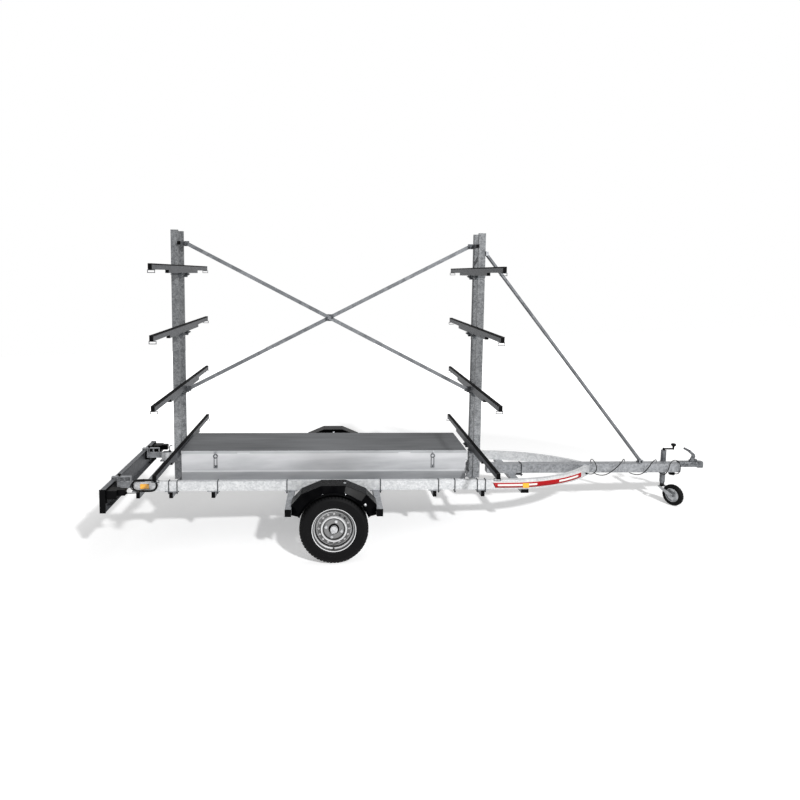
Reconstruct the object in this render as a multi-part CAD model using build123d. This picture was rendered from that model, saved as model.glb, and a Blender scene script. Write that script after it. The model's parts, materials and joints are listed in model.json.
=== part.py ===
# Boat trailer for canoes and rowing boats: two crossbar masts over a single-axle ladder frame.
# Every piece is first modelled on a level frame (millimetres, X forward to the coupling, Y to the
# left, Z up, X = 0 at the wheel axle, Z = 0 on the road), and the whole trailer is then pitched
# nose down until the wound-in jockey wheel and both tyres stand on one floor, as it parks.
import os
from math import acos, atan2, cos, degrees, hypot, pi, radians, sin, sqrt, tan

from build123d import *

# Wheels and axle
tyre_radius = 272.0
tyre_width = 155.0
tread_half = 58.0
sidewall_bulge_radius = 222.0
rim_seat_radius = 165.0
rim_flange_radius = 182.0
rim_well_radius = 150.0
rim_half_width = 67.0
rim_wall = 4.0
disc_offset = 30.0
disc_bore_radius = 41.0
disc_ridge_radius = 96.0
disc_ridge_rise = 16.0
disc_bolt_circle = 64.0
disc_bolt_count = 4
disc_bolt_turn = 15.0
disc_bolt_radius = 6.0
disc_bolt_head = 11.0
disc_bolt_head_length = 14.0
vent_circle = 119.0
vent_count = 16
vent_radius = 9.0
track = 1559.0
bead_gap = 0.2
hub_flange_radius = 76.0
hub_flange_thickness = 12.0
hub_body_radius = 36.0
hub_length = 78.0
dust_cap_radius = 30.0
dust_cap_length = 30.0
stub_radius = 17.5
running_gap = 0.05
arm_length = 173.5
arm_droop = 26.7
arm_thickness = 38.0
arm_height = 70.0
arm_to_tyre_gap = 14.0
stub_root = 1.0
stub_end_gap = 6.0
axle_hex_flat = 84.0
axle_bracket_thickness = 10.0
axle_bracket_length = 170.0
axle_bracket_margin = 12.0

# Side rails and drawbar
rail_width = 40.0
rail_height = 80.0
rail_wall = 3.0
rail_bottom = 450.0
rail_outer_y = 442.0
rail_rear_x = -1654.0
rail_bend_x = 1500.0
rail_bend_radius = 1100.0
rail_keep = 4000.0
drawbar_side = 80.0
drawbar_rear_x = 1400.0
drawbar_front_x = 3205.0
drawbar_plate = 7.0
packer = 8.0
packer_half_length = 52.0
packer_overhang = 4.0
drawbar_packer_margin = 12.0

# Crossmembers under the rails: middle X, width along X, depth along Z
member_width = 30.0
member_depth = 50.0
member_xs = (-1620.0, -1350.0, -1002.0, 852.0, 1262.0)
flat_member_x = 1622.0
flat_member_width = 64.0
flat_member_depth = 30.0
member_overhang = 6.0
cap_thickness = 4.0

# Bearers that carry the mudguards outside the rails
bearer_x = 357.0
bearer_width = 50.0
bearer_depth = 58.0
bearer_end_y = 846.0

# Mudguards; outline from foot to top as (distance ahead of the axle, height above the axle)
guard_inner_y = 652.0
guard_outer_y = 868.0
guard_wall = 4.0
guard_foot_rise = 108.0
guard_outline = ((332.0, 108.0), (332.0, 196.0), (287.0, 277.0), (243.0, 342.0), (125.0, 409.0), (90.0, 420.0))
guard_bevel = 24.0
guard_bevel_angle = 40.0
guard_flare_radius = 330.0
guard_lip_radius = 288.0
guard_flare_depth = 34.0

# Masts, crossbars and their bearers
mast_rear_x = -1372.0
mast_front_x = 1283.0
mast_tube_x = 60.0
mast_tube_y = 30.0
mast_spacing = 196.0
mast_top = 2623.0
gusset_thickness = 8.0
gusset_height = 102.0
gusset_toe = 8.0
gusset_reach = {"rear": 34.0, "front": 65.0}
bar_length = 2000.0
bar_width = 28.0
bar_depth = 35.0
pad_thickness = 10.0
lowest_bar_top = 770.0
top_bar_drop = 299.0
bar_count = 4
strut_length = 1054.0
strut_depth = 25.0
bar_cap_length = 10.0
loop_wire = 5.0
loop_length = 56.0
loop_drop = 24.0
loop_inset = 34.0
clamp_block_drop = 36.0

# Braces between the masts and the stay down to the drawbar
brace_width = 32.0
brace_thickness = 12.0
brace_top_drop = 113.0
brace_low_drop = 57.0
brace_end_gap = 55.0
lug_thickness = 8.0
lug_half_height = 22.0
lug_end = 16.0
crossing_plate_length = 70.0
crossing_plate_height = 60.0
top_tube_length = 262.0
top_tube_depth = 30.0
stay_radius = 15.0
stay_top_drop = 173.0
stay_top_x = 1345.0
stay_foot_x = 2845.0
stay_strap_width = 30.0
stay_strap = 5.0
stay_plate = 6.0
stay_cheek = 18.0
stay_ear_height = 26.0

# Stowage box with its hinged lid
box_rear_x = -1301.0
box_front_x = 1148.0
box_half_width = 296.0
box_top = 748.0
box_wall = 3.0
lid_flange = 24.0
lid_gap = 1.0
hinge_pin_radius = 3.0
hinge_knuckle_radius = 7.0
hinge_knuckle_length = 40.0
hinge_drop = 3.0
hinge_side_gap = 0.4
hinge_leaf = 36.0
hinge_flap = 21.0
hinge_xs = (-1000.0, -76.0, 850.0)
latch_xs = (-1010.0, 855.0)
latch_width = 32.0
latch_height = 124.0
latch_thickness = 6.0
latch_eye_radius = 20.0
latch_eye_hole = 11.0
latch_gap = 4.0
latch_base = 24.0
latch_rod_spacing = 24.0
notch_xs = (-772.0, 608.0)
notch_length = 105.0
notch_height = 8.0

# Coupling head for a 50 mm ball
ball_bore_radius = 25.2
ball_bore_depth = 26.0
head_wall = 8.0
head_bottom = 496.0
head_top = 552.0
nose_x = 3443.0
head_shoulder = 15.0
neck_bottom = 504.0
neck_wall = 9.0
coupling_width = 56.0
# Lift lever from its pivot to its grip as (distance from the ball's middle, height over the head)
lever_line = ((-76.0, 12.0), (-60.0, 44.0), (-66.0, 62.0), (-106.0, 96.0), (-142.0, 116.0))
lever_half_thickness = 15.0
lever_strip = 21.0
catch_gap = 6.0
catch_length = 18.0

# Jockey wheel jack on the left of the drawbar
jack_x = 3107.0
jack_clear = 14.0
jack_tube_radius = 24.0
jack_leg_radius = 21.0
jack_top = 634.0
jack_tube_bottom = 330.0
jack_leg_inside = 260.0
jack_leg_below = 10.0
jack_cap = 6.0
jack_clamp_margin = 12.0
jack_clamp_half = 36.0
jack_clamp_wall = 7.0
crank_radius = 7.5
crank_boss_radius = 11.0
crank_rise = 12.0
crank_reach = 92.0
knob_radius = 24.0
knob_height = 42.0
jockey_radius = 97.0
jockey_width = 50.0
jockey_rim_radius = 62.0
jockey_trail = 112.0
castor_turn = 60.0
jockey_tread_half = 13.0
jockey_centre_z = 235.0
jockey_axle_radius = 8.0
fork_plate = 5.0
fork_gap = 6.0
fork_yoke = 8.0
fork_tip = 15.0
fork_socket_height = 26.0
fork_socket_radius = 19.0

# Lighting board on two arms that telescope into the rails
board_rear_x = -1835.0
board_depth = 40.0
board_sheet = 4.0
board_half_length = 705.0
board_bottom = 372.0
board_top = 555.0
board_cap = 8.0
board_cap_lip = 3.0
strap_width = 30.0
strap_thickness = 5.0
strap_rise = 17.0
strap_front_x = -1680.0
strap_post_x = -1739.0
strap_hook = 10.0
board_arm_width = 30.0
board_arm_depth = 50.0
board_arm_inside = 650.0
arm_pocket_spare = 20.0
seat_gap = 0.3
lamp_arm_gap = 26.0
lamp_height = 100.0
lamp_depth = 46.0
lamp_box_length = 93.0
lamp_box_depth = 120.0
lamp_box_drop = 68.0
lamp_plug_depth = 56.0
lamp_plug_inset = 25.0
lamp_plug_length = 50.0
lamp_plug_drop = 48.0
lamp_lens = 8.0
lamp_inset = 12.0
lamp_drop = 62.0

# Lamp lead from the right lamp to its hank, and the towing cable wound round the drawbar
lead_radius = 3.5
cable_radius = 3.75
bend_share = 0.45
gland_radius = 8.0
lead_gland_length = 10.0
cable_gland_length = 14.0
lead_points = (
    (-1645.0, -643.0, 507.0),
    (-1608.0, -643.0, 507.0),
    (-1579.0, -624.0, 501.0),
    (-1568.0, -590.0, 495.0),
    (-1582.0, -556.0, 491.0),
    (-1612.0, -540.0, 491.0),
    (-1644.0, -530.0, 496.0),
    (-1664.0, -504.0, 500.0),
    (-1664.0, -470.0, 500.0),
)
hank_x = (-1672.0, -1452.0)
hank_y = (-470.0, -454.0)
hank_z = (450.0, 559.0)
hank_section = 16.0
hank_clip_x = (-1671.0, -1660.0)
hank_clip_z = (489.0, 511.0)
cable_gland_x = 2290.0
cable_gland_z = 474.0
cable_first_run = 36.0
cable_points = (
    (2360.0, -152.0, 498.0),
    (2378.0, -136.0, 528.0),
    (2384.0, -102.0, 552.0),
    (2388.0, -58.0, 566.0),
    (2392.0, -10.0, 572.0),
    (2396.0, 36.0, 562.0),
    (2401.0, 62.0, 534.0),
    (2410.0, 62.0, 464.0),
    (2420.0, 36.0, 435.0),
    (2440.0, -14.0, 428.0),
    (2478.0, -50.0, 434.0),
    (2522.0, -63.0, 455.0),
    (2572.0, -63.0, 492.0),
    (2620.0, -61.0, 534.0),
    (2652.0, -40.0, 560.0),
    (2684.0, -2.0, 570.0),
    (2712.0, 38.0, 560.0),
    (2728.0, 62.0, 532.0),
    (2740.0, 62.0, 464.0),
    (2756.0, 36.0, 435.0),
    (2786.0, -14.0, 429.0),
    (2824.0, -52.0, 440.0),
    (2862.0, -62.0, 470.0),
    (2898.0, -62.0, 510.0),
    (2926.0, -50.0, 546.0),
    (2958.0, -22.0, 559.0),
    (3000.0, 16.0, 560.0),
    (3024.0, 49.0, 548.0),
    (3036.0, 63.0, 512.0),
    (3040.0, 62.0, 464.0),
    (3046.0, 37.0, 435.0),
    (3052.0, -8.0, 430.0),
    (3062.0, -46.0, 438.0),
    (3074.0, -64.0, 473.0),
    (3088.0, -63.0, 512.0),
    (3099.0, -60.0, 549.0),
    (3126.0, -54.0, 576.0),
    (3164.0, -52.0, 576.0),
    (3191.0, -56.0, 549.0),
    (3196.0, -61.0, 510.0),
    (3193.0, -58.0, 470.0),
    (3187.0, -38.0, 439.0),
    (3183.0, 2.0, 430.0),
)
plug_radius = 17.0
plug_length = 62.0
plug_neck_radius = 8.0
plug_neck_length = 14.0

# Derived places
rail_top = rail_bottom + rail_height
rail_mid_y = rail_outer_y - rail_width / 2
member_top = rail_bottom - packer
wheel_mid_y = track / 2
axle_z = tyre_radius
mast_foot_z = member_top
drawbar_bottom = rail_bottom + packer
drawbar_top = drawbar_bottom + drawbar_side
jack_y = drawbar_side / 2 + jack_clear + jack_tube_radius
bar_pitch = (mast_top - top_bar_drop - lowest_bar_top) / (bar_count - 1)
bar_tops = [lowest_bar_top + bar_pitch * n for n in range(bar_count)]
brace_top_z = mast_top - brace_top_drop
brace_low_z = bar_tops[1] - brace_low_drop
stay_top_z = mast_top - stay_top_drop
lamp_length = board_half_length - lamp_inset - lamp_arm_gap - rail_mid_y - board_arm_width / 2
lamp_middle_z = board_top - lamp_drop
masts = {"rear": (mast_rear_x, 1), "front": (mast_front_x, -1)}
sides = {"right": -1, "left": 1}
nodes = {}


def block(x, y, z):
    """Box between two limits on each axis."""
    size = (abs(x[1] - x[0]), abs(y[1] - y[0]), abs(z[1] - z[0]))
    middle = ((x[0] + x[1]) / 2, (y[0] + y[1]) / 2, (z[0] + z[1]) / 2)
    return Pos(*middle) * Box(*size)


def group(solids):
    """Several solids kept apart in one node."""
    return Compound(list(solids))


def rod(start, end, radius):
    """Round bar between two points."""
    a, b = Vector(*start), Vector(*end)
    return Plane(origin=a, z_dir=b - a) * Cylinder(
        radius, (b - a).length, align=(Align.CENTER, Align.CENTER, Align.MIN)
    )


def turned(profile, y_middle, outward):
    """Solid turned about the axle: profile is (radius, outward offset from the wheel's middle)."""
    return turned_face(make_face(Polyline(*profile, close=True)), y_middle, outward)


def turned_face(face, y_middle, outward):
    """Solid turned about the axle from a face drawn as (radius, outward offset)."""
    wheel = revolve(face, Axis.Y)
    if outward < 0:
        wheel = mirror(wheel, about=Plane.XZ)
    return Pos(0, y_middle, axle_z) * wheel


def sheet_section(points, wall):
    """Face of a sheet of constant thickness bent along the given points, with mitred corners."""
    line = [Vector(*point) for point in points]
    normals = [(b - a).normalized().rotate(Axis.Z, 90) for a, b in zip(line, line[1:])]
    before = [normals[0], *normals]
    after = [*normals, normals[-1]]
    mitres = [(a + b) * (1 / (1 + a.dot(b))) for a, b in zip(before, after)]
    left = [point + mitre * (wall / 2) for point, mitre in zip(line, mitres)]
    right = [point - mitre * (wall / 2) for point, mitre in zip(line, mitres)]
    return make_face(Polyline(*left, *reversed(right), close=True))


def bent_strip(points, width, y0, y1):
    """Round-ended strip along points given as (x, z), between two Y limits."""
    pieces = []
    for start, end in zip(points, points[1:]):
        length = hypot(end[0] - start[0], end[1] - start[1])
        angle = degrees(atan2(end[1] - start[1], end[0] - start[0]))
        place = Pos((start[0] + end[0]) / 2, (start[1] + end[1]) / 2) * Rot(0, 0, angle)
        pieces.append(place * SlotCenterToCenter(length, width))
    outline = pieces[0]
    for piece in pieces[1:]:
        outline = outline + piece
    return Pos(0, y1, 0) * extrude(Plane.XZ * outline, y1 - y0)


def side_plate(points, y0, y1):
    """Flat plate of an outline given as (x, z), between two Y limits."""
    face = Plane.XZ * make_face(Polyline(*points, close=True))
    return Pos(0, y1, 0) * extrude(face, y1 - y0)


def mirrored(solid):
    """The same solid on the other side of the middle plane."""
    return mirror(solid, about=Plane.XZ)


def build_rails():
    """Box-section rails: straight, then bent inward to the drawbar, with pockets for the arms."""
    centre_y = -rail_outer_y + rail_bend_radius
    half_bar = drawbar_side / 2
    inner_radius = rail_bend_radius - rail_width
    ring = Circle(rail_bend_radius) - Circle(inner_radius)
    window = Pos(rail_bend_radius / 2, -rail_bend_radius / 2) * Rectangle(rail_bend_radius, rail_bend_radius)
    bend = Pos(rail_bend_x, centre_y) * (ring & window)
    straight_length = rail_bend_x - rail_rear_x
    straight = Pos(rail_rear_x + straight_length / 2, -rail_mid_y) * Rectangle(straight_length, rail_width)
    keep_depth = rail_outer_y - half_bar
    keep = Pos(rail_bend_x, -half_bar - keep_depth / 2) * Rectangle(2 * rail_keep, keep_depth)
    plan = (straight + bend) & keep
    rail = Pos(0, 0, rail_bottom) * extrude(plan, rail_height, dir=(0, 0, 1))
    inside = rail_width / 2 - rail_wall
    arm_bottom = rail_top - rail_wall - seat_gap - board_arm_depth
    pocket_end = rail_rear_x + board_arm_inside + arm_pocket_spare
    pocket = block(
        (rail_rear_x - 1, pocket_end),
        (-rail_mid_y - inside, -rail_mid_y + inside),
        (arm_bottom - seat_gap, rail_top - rail_wall),
    )
    rail = rail - pocket
    nodes["rail_right"] = rail
    nodes["rail_left"] = mirrored(rail)


def build_drawbar():
    """Square drawbar from the flat crossmember to the coupling, with its front plate welded on."""
    half = drawbar_side / 2
    bar = block((drawbar_rear_x, drawbar_front_x), (-half, half), (drawbar_bottom, drawbar_top))
    plate = block((drawbar_front_x, drawbar_front_x + drawbar_plate), (-half, half), (drawbar_bottom, head_bottom - 1))
    nodes["drawbar"] = bar + plate


def rail_packer(x, half_length, side):
    """Flat plate clamped between a rail and the tube under it."""
    inner = rail_outer_y - rail_width - packer_overhang
    outer = rail_outer_y + packer_overhang
    return block((x - half_length, x + half_length), (side * inner, side * outer), (member_top, rail_bottom))


def build_crossmembers():
    """Tubes across the rails, the packing plates above them and the plastic plugs in their ends."""
    reach = rail_outer_y + member_overhang
    flat_z = (rail_bottom - flat_member_depth, rail_bottom)
    tube_z = (member_top - member_depth, member_top)
    bearer_z = (member_top - bearer_depth, member_top)
    # Columns: middle X, width along X, (lower, upper) Z, half length, whether packing plates lie on it
    tubes = [(x, member_width, tube_z, reach, True) for x in member_xs]
    tubes.append((flat_member_x, flat_member_width, flat_z, reach, False))
    bearers = [(x, bearer_width, bearer_z, bearer_end_y, True) for x in (-bearer_x, bearer_x)]
    packers = []
    caps = []
    for name, rows in (("crossmembers", tubes), ("mudguard_bearers", bearers)):
        solids = []
        for x, width, z, half_length, packed in rows:
            span = (x - width / 2, x + width / 2)
            solids.append(block(span, (-half_length, half_length), z))
            for side in sides.values():
                caps.append(block(span, (side * half_length, side * (half_length + cap_thickness)), z))
                if packed:
                    packers.append(rail_packer(x, packer_half_length, side))
        nodes[name] = group(solids)
    nodes["tube_end_caps"] = group(caps)
    half = drawbar_side / 2
    half_member = flat_member_width / 2 + drawbar_packer_margin
    wide = half + drawbar_packer_margin
    z = (rail_bottom, drawbar_bottom)
    packers.append(block((flat_member_x - half_member, flat_member_x + half_member), (-wide, wide), z))
    nodes["frame_packers"] = group(packers)


def build_axle():
    """Rubber-sprung axle: hexagon tube with welded brackets, trailing arms with stub axles."""
    arm_dx = arm_length * cos(radians(arm_droop))
    arm_dz = arm_length * sin(radians(arm_droop))
    beam_z = axle_z + arm_dz
    arm_outer = wheel_mid_y - tyre_width / 2 - arm_to_tyre_gap
    arm_inner = arm_outer - arm_thickness
    corner = axle_hex_flat / 2 / cos(pi / 6)
    section = Plane.XZ * Rot(0, 0, 30) * RegularPolygon(corner, 6)
    beam = Pos(arm_dx, arm_inner, beam_z) * extrude(section, 2 * arm_inner)
    half = axle_bracket_thickness / 2
    foot = axle_hex_flat / 2 + axle_bracket_margin
    bracket = [
        (arm_dx - axle_bracket_length / 2, rail_bottom),
        (arm_dx + axle_bracket_length / 2, rail_bottom),
        (arm_dx + foot, beam_z - foot),
        (arm_dx - foot, beam_z - foot),
    ]
    for side in sides.values():
        y = side * rail_mid_y
        beam = beam + side_plate(bracket, y - half, y + half)
    nodes["axle_beam"] = beam
    arms = []
    stub_end = wheel_mid_y + disc_offset - stub_end_gap
    for side in sides.values():
        near, far = sorted((side * arm_inner, side * arm_outer))
        blank = Pos(0, far, 0) * extrude(Plane.XZ * SlotCenterToCenter(arm_length, arm_height), far - near)
        arm = Pos(arm_dx / 2, 0, (axle_z + beam_z) / 2) * Rot(0, -arm_droop, 0) * blank
        stub = rod((0, side * (arm_outer - stub_root), axle_z), (0, side * stub_end, axle_z), stub_radius)
        arms.append(arm + stub)
    nodes["axle_arms"] = group(arms)


def around_axle(radius, count, start=0.0):
    """Places evenly round the wheel axis, as (x, z) from it, the first turned forward from the top."""
    angles = [radians(start) + 2 * pi * n / count for n in range(count)]
    return [(radius * sin(angle), radius * cos(angle)) for angle in angles]


def across_wheel(x, z, middle, side, near, far, radius):
    """Round bar parallel to the axle between two offsets from the wheel's middle."""
    return rod((x, middle + side * near, axle_z + z), (x, middle + side * far, axle_z + z), radius)


def build_wheels():
    """Steel disc wheels with vents and bolts, their tyres, and hubs turning on the stub axles."""
    seat = rim_seat_radius
    well = rim_well_radius
    face = disc_offset
    tyre_seat = seat + bead_gap
    bead = rim_half_width - 5
    tyre_bead = bead - rim_wall + 1
    bulge = tyre_width / 2
    tyre_profile = [
        (tyre_seat, -tyre_bead),
        (sidewall_bulge_radius, -bulge),
        (tyre_radius, -tread_half),
        (tyre_radius, tread_half),
        (sidewall_bulge_radius, bulge),
        (tyre_seat, tyre_bead),
    ]
    # Columns of both lists: radius, offset outward from the wheel's middle
    barrel_line = [
        (rim_flange_radius, rim_half_width),
        (seat - rim_wall / 2, bead),
        (seat - 5, bead - 22),
        (well - rim_wall / 2, bead - 34),
        (well - rim_wall / 2, -bead + 42),
        (seat - 5, -bead + 26),
        (seat - rim_wall / 2, -bead),
        (rim_flange_radius, -rim_half_width),
    ]
    disc_line = [
        (well - rim_wall, face - 16),
        (well - 16, face - 3),
        (disc_ridge_radius + 12, face + 1),
        (disc_ridge_radius + 4, face + disc_ridge_rise),
        (disc_ridge_radius - 4, face + disc_ridge_rise),
        (disc_ridge_radius - 13, face + rim_wall / 2),
        (disc_bore_radius, face + rim_wall / 2),
    ]
    plate = face + rim_wall
    flange_back = face - hub_flange_thickness
    inner = face - hub_length
    cap_seat = disc_bore_radius - 2
    cap_root = plate + 3
    hub_profile = [
        (stub_radius + running_gap, inner),
        (hub_body_radius + hub_flange_thickness, inner),
        (hub_body_radius + hub_flange_thickness, inner + 18),
        (hub_body_radius, inner + 24),
        (hub_body_radius, flange_back),
        (hub_flange_radius, flange_back),
        (hub_flange_radius, face),
        (cap_seat, face),
        (cap_seat, cap_root),
        (dust_cap_radius, cap_root),
        (dust_cap_radius, cap_root + dust_cap_length - 6),
        (dust_cap_radius - 6, cap_root + dust_cap_length),
        (0, cap_root + dust_cap_length),
        (0, face),
        (stub_radius + running_gap, face),
    ]
    bolts = around_axle(disc_bolt_circle, disc_bolt_count, disc_bolt_turn)
    for name, side in sides.items():
        middle = side * wheel_mid_y
        nodes["tyre_" + name] = turned(tyre_profile, middle, side)
        barrel = turned_face(sheet_section(barrel_line, rim_wall), middle, side)
        rim = barrel + turned_face(sheet_section(disc_line, rim_wall), middle, side)
        for x, z in around_axle(vent_circle, vent_count):
            rim = rim - across_wheel(x, z, middle, side, face - 20, face + 20, vent_radius)
        hub = turned(hub_profile, middle, side)
        for x, z in bolts:
            rim = rim - across_wheel(x, z, middle, side, face - 1, plate + 1, disc_bolt_radius + seat_gap)
            hub = hub + across_wheel(x, z, middle, side, flange_back, plate + 1, disc_bolt_radius)
            hub = hub + across_wheel(x, z, middle, side, plate, plate + disc_bolt_head_length, disc_bolt_head)
        nodes["rim_" + name] = rim
        nodes["hub_" + name] = hub


def build_mudguards():
    """Moulded guard: faceted skin with a bevelled outer edge and a flared lip round the wheel."""
    behind = [(-x, z) for x, z in reversed(guard_outline)]
    outline = [(x, axle_z + z) for x, z in [*guard_outline, *behind]]
    face = Plane.XZ * make_face(Polyline(*outline, close=True))
    shoulder_y = guard_outer_y - guard_flare_depth
    skin_width = shoulder_y - guard_bevel - guard_inner_y
    skin = extrude(face, -skin_width)
    skin = skin + Pos(0, skin_width, 0) * extrude(face, -guard_bevel, taper=guard_bevel_angle)
    inner_face = offset(face, -guard_wall, kind=Kind.INTERSECTION)
    hollow = extrude(inner_face, -skin_width)
    inner_bevel = extrude(inner_face, guard_wall - guard_bevel, taper=guard_bevel_angle)
    hollow = hollow + Pos(0, skin_width, 0) * inner_bevel
    guard = Pos(0, guard_inner_y, 0) * (skin - hollow)
    opening = Pos(0, 0, axle_z) * Rot(90, 0, 0) * Cylinder(guard_flare_radius, 4 * guard_outer_y)
    flare_line = [
        (guard_flare_radius + guard_wall, shoulder_y - guard_wall / 2),
        (guard_flare_radius - guard_wall, shoulder_y - guard_wall / 2),
        (guard_lip_radius + guard_wall, guard_outer_y - guard_wall / 2),
        (guard_lip_radius, guard_outer_y - guard_wall / 2),
    ]
    flare = Pos(0, 0, axle_z) * revolve(sheet_section(flare_line, guard_wall), Axis.Y)
    foot_z = axle_z + guard_foot_rise
    above = block((-guard_outer_y, guard_outer_y), (0, 2 * guard_outer_y), (foot_z, foot_z + guard_outer_y))
    guard = (guard - opening + flare) & above
    nodes["mudguard_left"] = guard
    nodes["mudguard_right"] = mirrored(guard)


def build_masts():
    """Twin-tube masts on the crossmembers with gussets at their feet."""
    for name, (x, _) in masts.items():
        tubes = []
        for side in sides.values():
            y = side * mast_spacing / 2
            tubes.append(
                block(
                    (x - mast_tube_x / 2, x + mast_tube_x / 2),
                    (y - mast_tube_y / 2, y + mast_tube_y / 2),
                    (mast_foot_z, mast_top),
                )
            )
        nodes["mast_" + name] = group(tubes)
    gussets = []
    for name, (x, inward) in masts.items():
        face = x + inward * mast_tube_x / 2
        tip = face + inward * gusset_reach[name]
        toe_z = mast_foot_z + gusset_toe
        outline = [(face, mast_foot_z), (tip, mast_foot_z), (tip, toe_z), (face, mast_foot_z + gusset_height)]
        for side in sides.values():
            y = side * mast_spacing / 2
            gussets.append(side_plate(outline, y - gusset_thickness / 2, y + gusset_thickness / 2))
    nodes["mast_feet"] = group(gussets)


def bar_x(x, inward):
    """Near and far X faces of a bar clamped on the inner face of a mast."""
    face = x + inward * mast_tube_x / 2
    return face, face + inward * bar_width


def build_crossbars():
    """Crossbars with rubber tops and end plugs, the struts under them and their clamp blocks."""
    half = bar_length / 2
    bar_end = half - bar_cap_length
    strut_half = strut_length / 2
    caps = []
    loops = []
    clamps = []
    pads = []
    struts = []
    loop = tie_loop()
    for name, (x, inward) in masts.items():
        span = bar_x(x, inward)
        bars = []
        for top in bar_tops:
            bar_top = top - pad_thickness
            bar_bottom = bar_top - bar_depth
            strut_bottom = bar_bottom - strut_depth
            bars.append(block(span, (-bar_end, bar_end), (bar_bottom, bar_top)))
            pads.append(block(span, (-bar_end, bar_end), (bar_top, top)))
            struts.append(block(span, (-strut_half, strut_half), (strut_bottom, bar_bottom)))
            for side in sides.values():
                caps.append(block(span, (side * bar_end, side * half), (bar_bottom, top)))
                strut_cap_y = (side * strut_half, side * (strut_half + cap_thickness))
                caps.append(block(span, strut_cap_y, (strut_bottom, bar_bottom)))
                loops.append(Pos(sum(span) / 2, side * (half - loop_inset), bar_bottom) * loop)
                y = side * mast_spacing / 2
                clamp_y = (y - mast_tube_y / 2, y + mast_tube_y / 2)
                clamps.append(block(span, clamp_y, (strut_bottom - clamp_block_drop, strut_bottom)))
        nodes["crossbars_" + name] = group(bars)
    nodes["bar_pads"] = group(pads)
    nodes["bar_struts"] = group(struts)
    nodes["bar_end_caps"] = group(caps)
    nodes["tie_down_loops"] = group(loops)
    nodes["bar_clamps"] = group(clamps)


def tie_loop():
    """Wire loop that hangs under a crossbar end, lying along X, its top at the origin."""
    radius = loop_wire / 2
    top = -radius
    low = radius - loop_drop
    half = loop_length / 2 - radius
    ends = [(-half, low), (-half, top), (half, top), (half, low)]
    loop = rod((-half - radius, 0, low), (half + radius, 0, low), radius)
    for (x0, z0), (x1, z1) in zip(ends, ends[1:]):
        stretch = radius if z0 == z1 else 0
        loop = loop + rod((x0 - stretch, 0, z0), (x1 + stretch, 0, z1), radius)
    return loop


def build_braces():
    """Crossed braces between the masts, the plate at their crossing, and the lugs they bolt to."""
    rear_end = mast_rear_x + mast_tube_x / 2 + brace_end_gap
    front_end = mast_front_x - mast_tube_x / 2 - brace_end_gap
    run = front_end - rear_end
    drop = brace_top_z - brace_low_z
    length = hypot(run, drop) + brace_width
    middle_x = (rear_end + front_end) / 2
    middle_z = (brace_top_z + brace_low_z) / 2
    tilt = degrees(atan2(drop, run))
    braces = []
    for sign in (-1, 1):
        y = sign * (lug_thickness + brace_thickness) / 2
        bar = Box(length, brace_thickness, brace_width)
        braces.append(Pos(middle_x, y, middle_z) * Rot(0, -sign * tilt, 0) * bar)
    nodes["cross_braces"] = group(braces)
    plate = Box(crossing_plate_length, lug_thickness, crossing_plate_height)
    lugs = [Pos(middle_x, 0, middle_z) * plate]
    plugs = []
    half = top_tube_length / 2
    tube_z = (brace_top_z - top_tube_depth / 2, brace_top_z + top_tube_depth / 2)
    lug_y = (-lug_thickness / 2, lug_thickness / 2)
    for x, inward in masts.values():
        near, far = bar_x(x, inward)
        tip = x + inward * (mast_tube_x / 2 + brace_end_gap + lug_end)
        low_z, high_z = (
            (z - lug_half_height, z + lug_half_height) for z in (brace_low_z, brace_top_z)
        )
        lugs.append(block((near, far), (-half, half), tube_z) + block((far, tip), lug_y, high_z))
        for side in sides.values():
            plugs.append(block((near, far), (side * half, side * (half + cap_thickness)), tube_z))
        lugs.append(block((far, tip), lug_y, low_z))
    nodes["brace_lugs"] = group(lugs)
    nodes["top_tube_plugs"] = group(plugs)


def build_stay():
    """Round stay from the front mast down to the drawbar, with its end brackets."""
    foot_z = drawbar_top + stay_radius + 1
    nodes["front_stay"] = rod((stay_top_x, 0, stay_top_z), (stay_foot_x, 0, foot_z), stay_radius)
    mast_face = mast_front_x + mast_tube_x / 2
    plate_face = mast_face + stay_plate
    half = top_tube_length / 2
    top_z = (stay_top_z - stay_cheek, stay_top_z + stay_cheek)
    top = block((mast_face, plate_face), (-half, half), top_z)
    base_x = (stay_foot_x - stay_cheek, stay_foot_x + stay_cheek + stay_strap_width)
    base_z = (drawbar_top, drawbar_top + stay_plate)
    half_bar = drawbar_side / 2
    around = half_bar + stay_strap
    base = block(base_x, (-around, around), base_z)
    strap_x = (base_x[1] - stay_strap_width, base_x[1])
    strap = block(strap_x, (-around, around), (drawbar_bottom - stay_strap, drawbar_top))
    base = base + (strap - block(strap_x, (-half_bar, half_bar), (drawbar_bottom, drawbar_top)))
    for side in sides.values():
        cheek_y = (side * (stay_radius + seat_gap), side * (stay_radius + seat_gap + stay_plate))
        top = top + block((plate_face, stay_top_x + stay_cheek), cheek_y, top_z)
        ear_z = (drawbar_top + stay_plate, drawbar_top + stay_plate + stay_ear_height)
        base = base + block((stay_foot_x - stay_cheek, stay_foot_x + stay_cheek), cheek_y, ear_z)
    nodes["stay_brackets"] = group([top, base])


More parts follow.
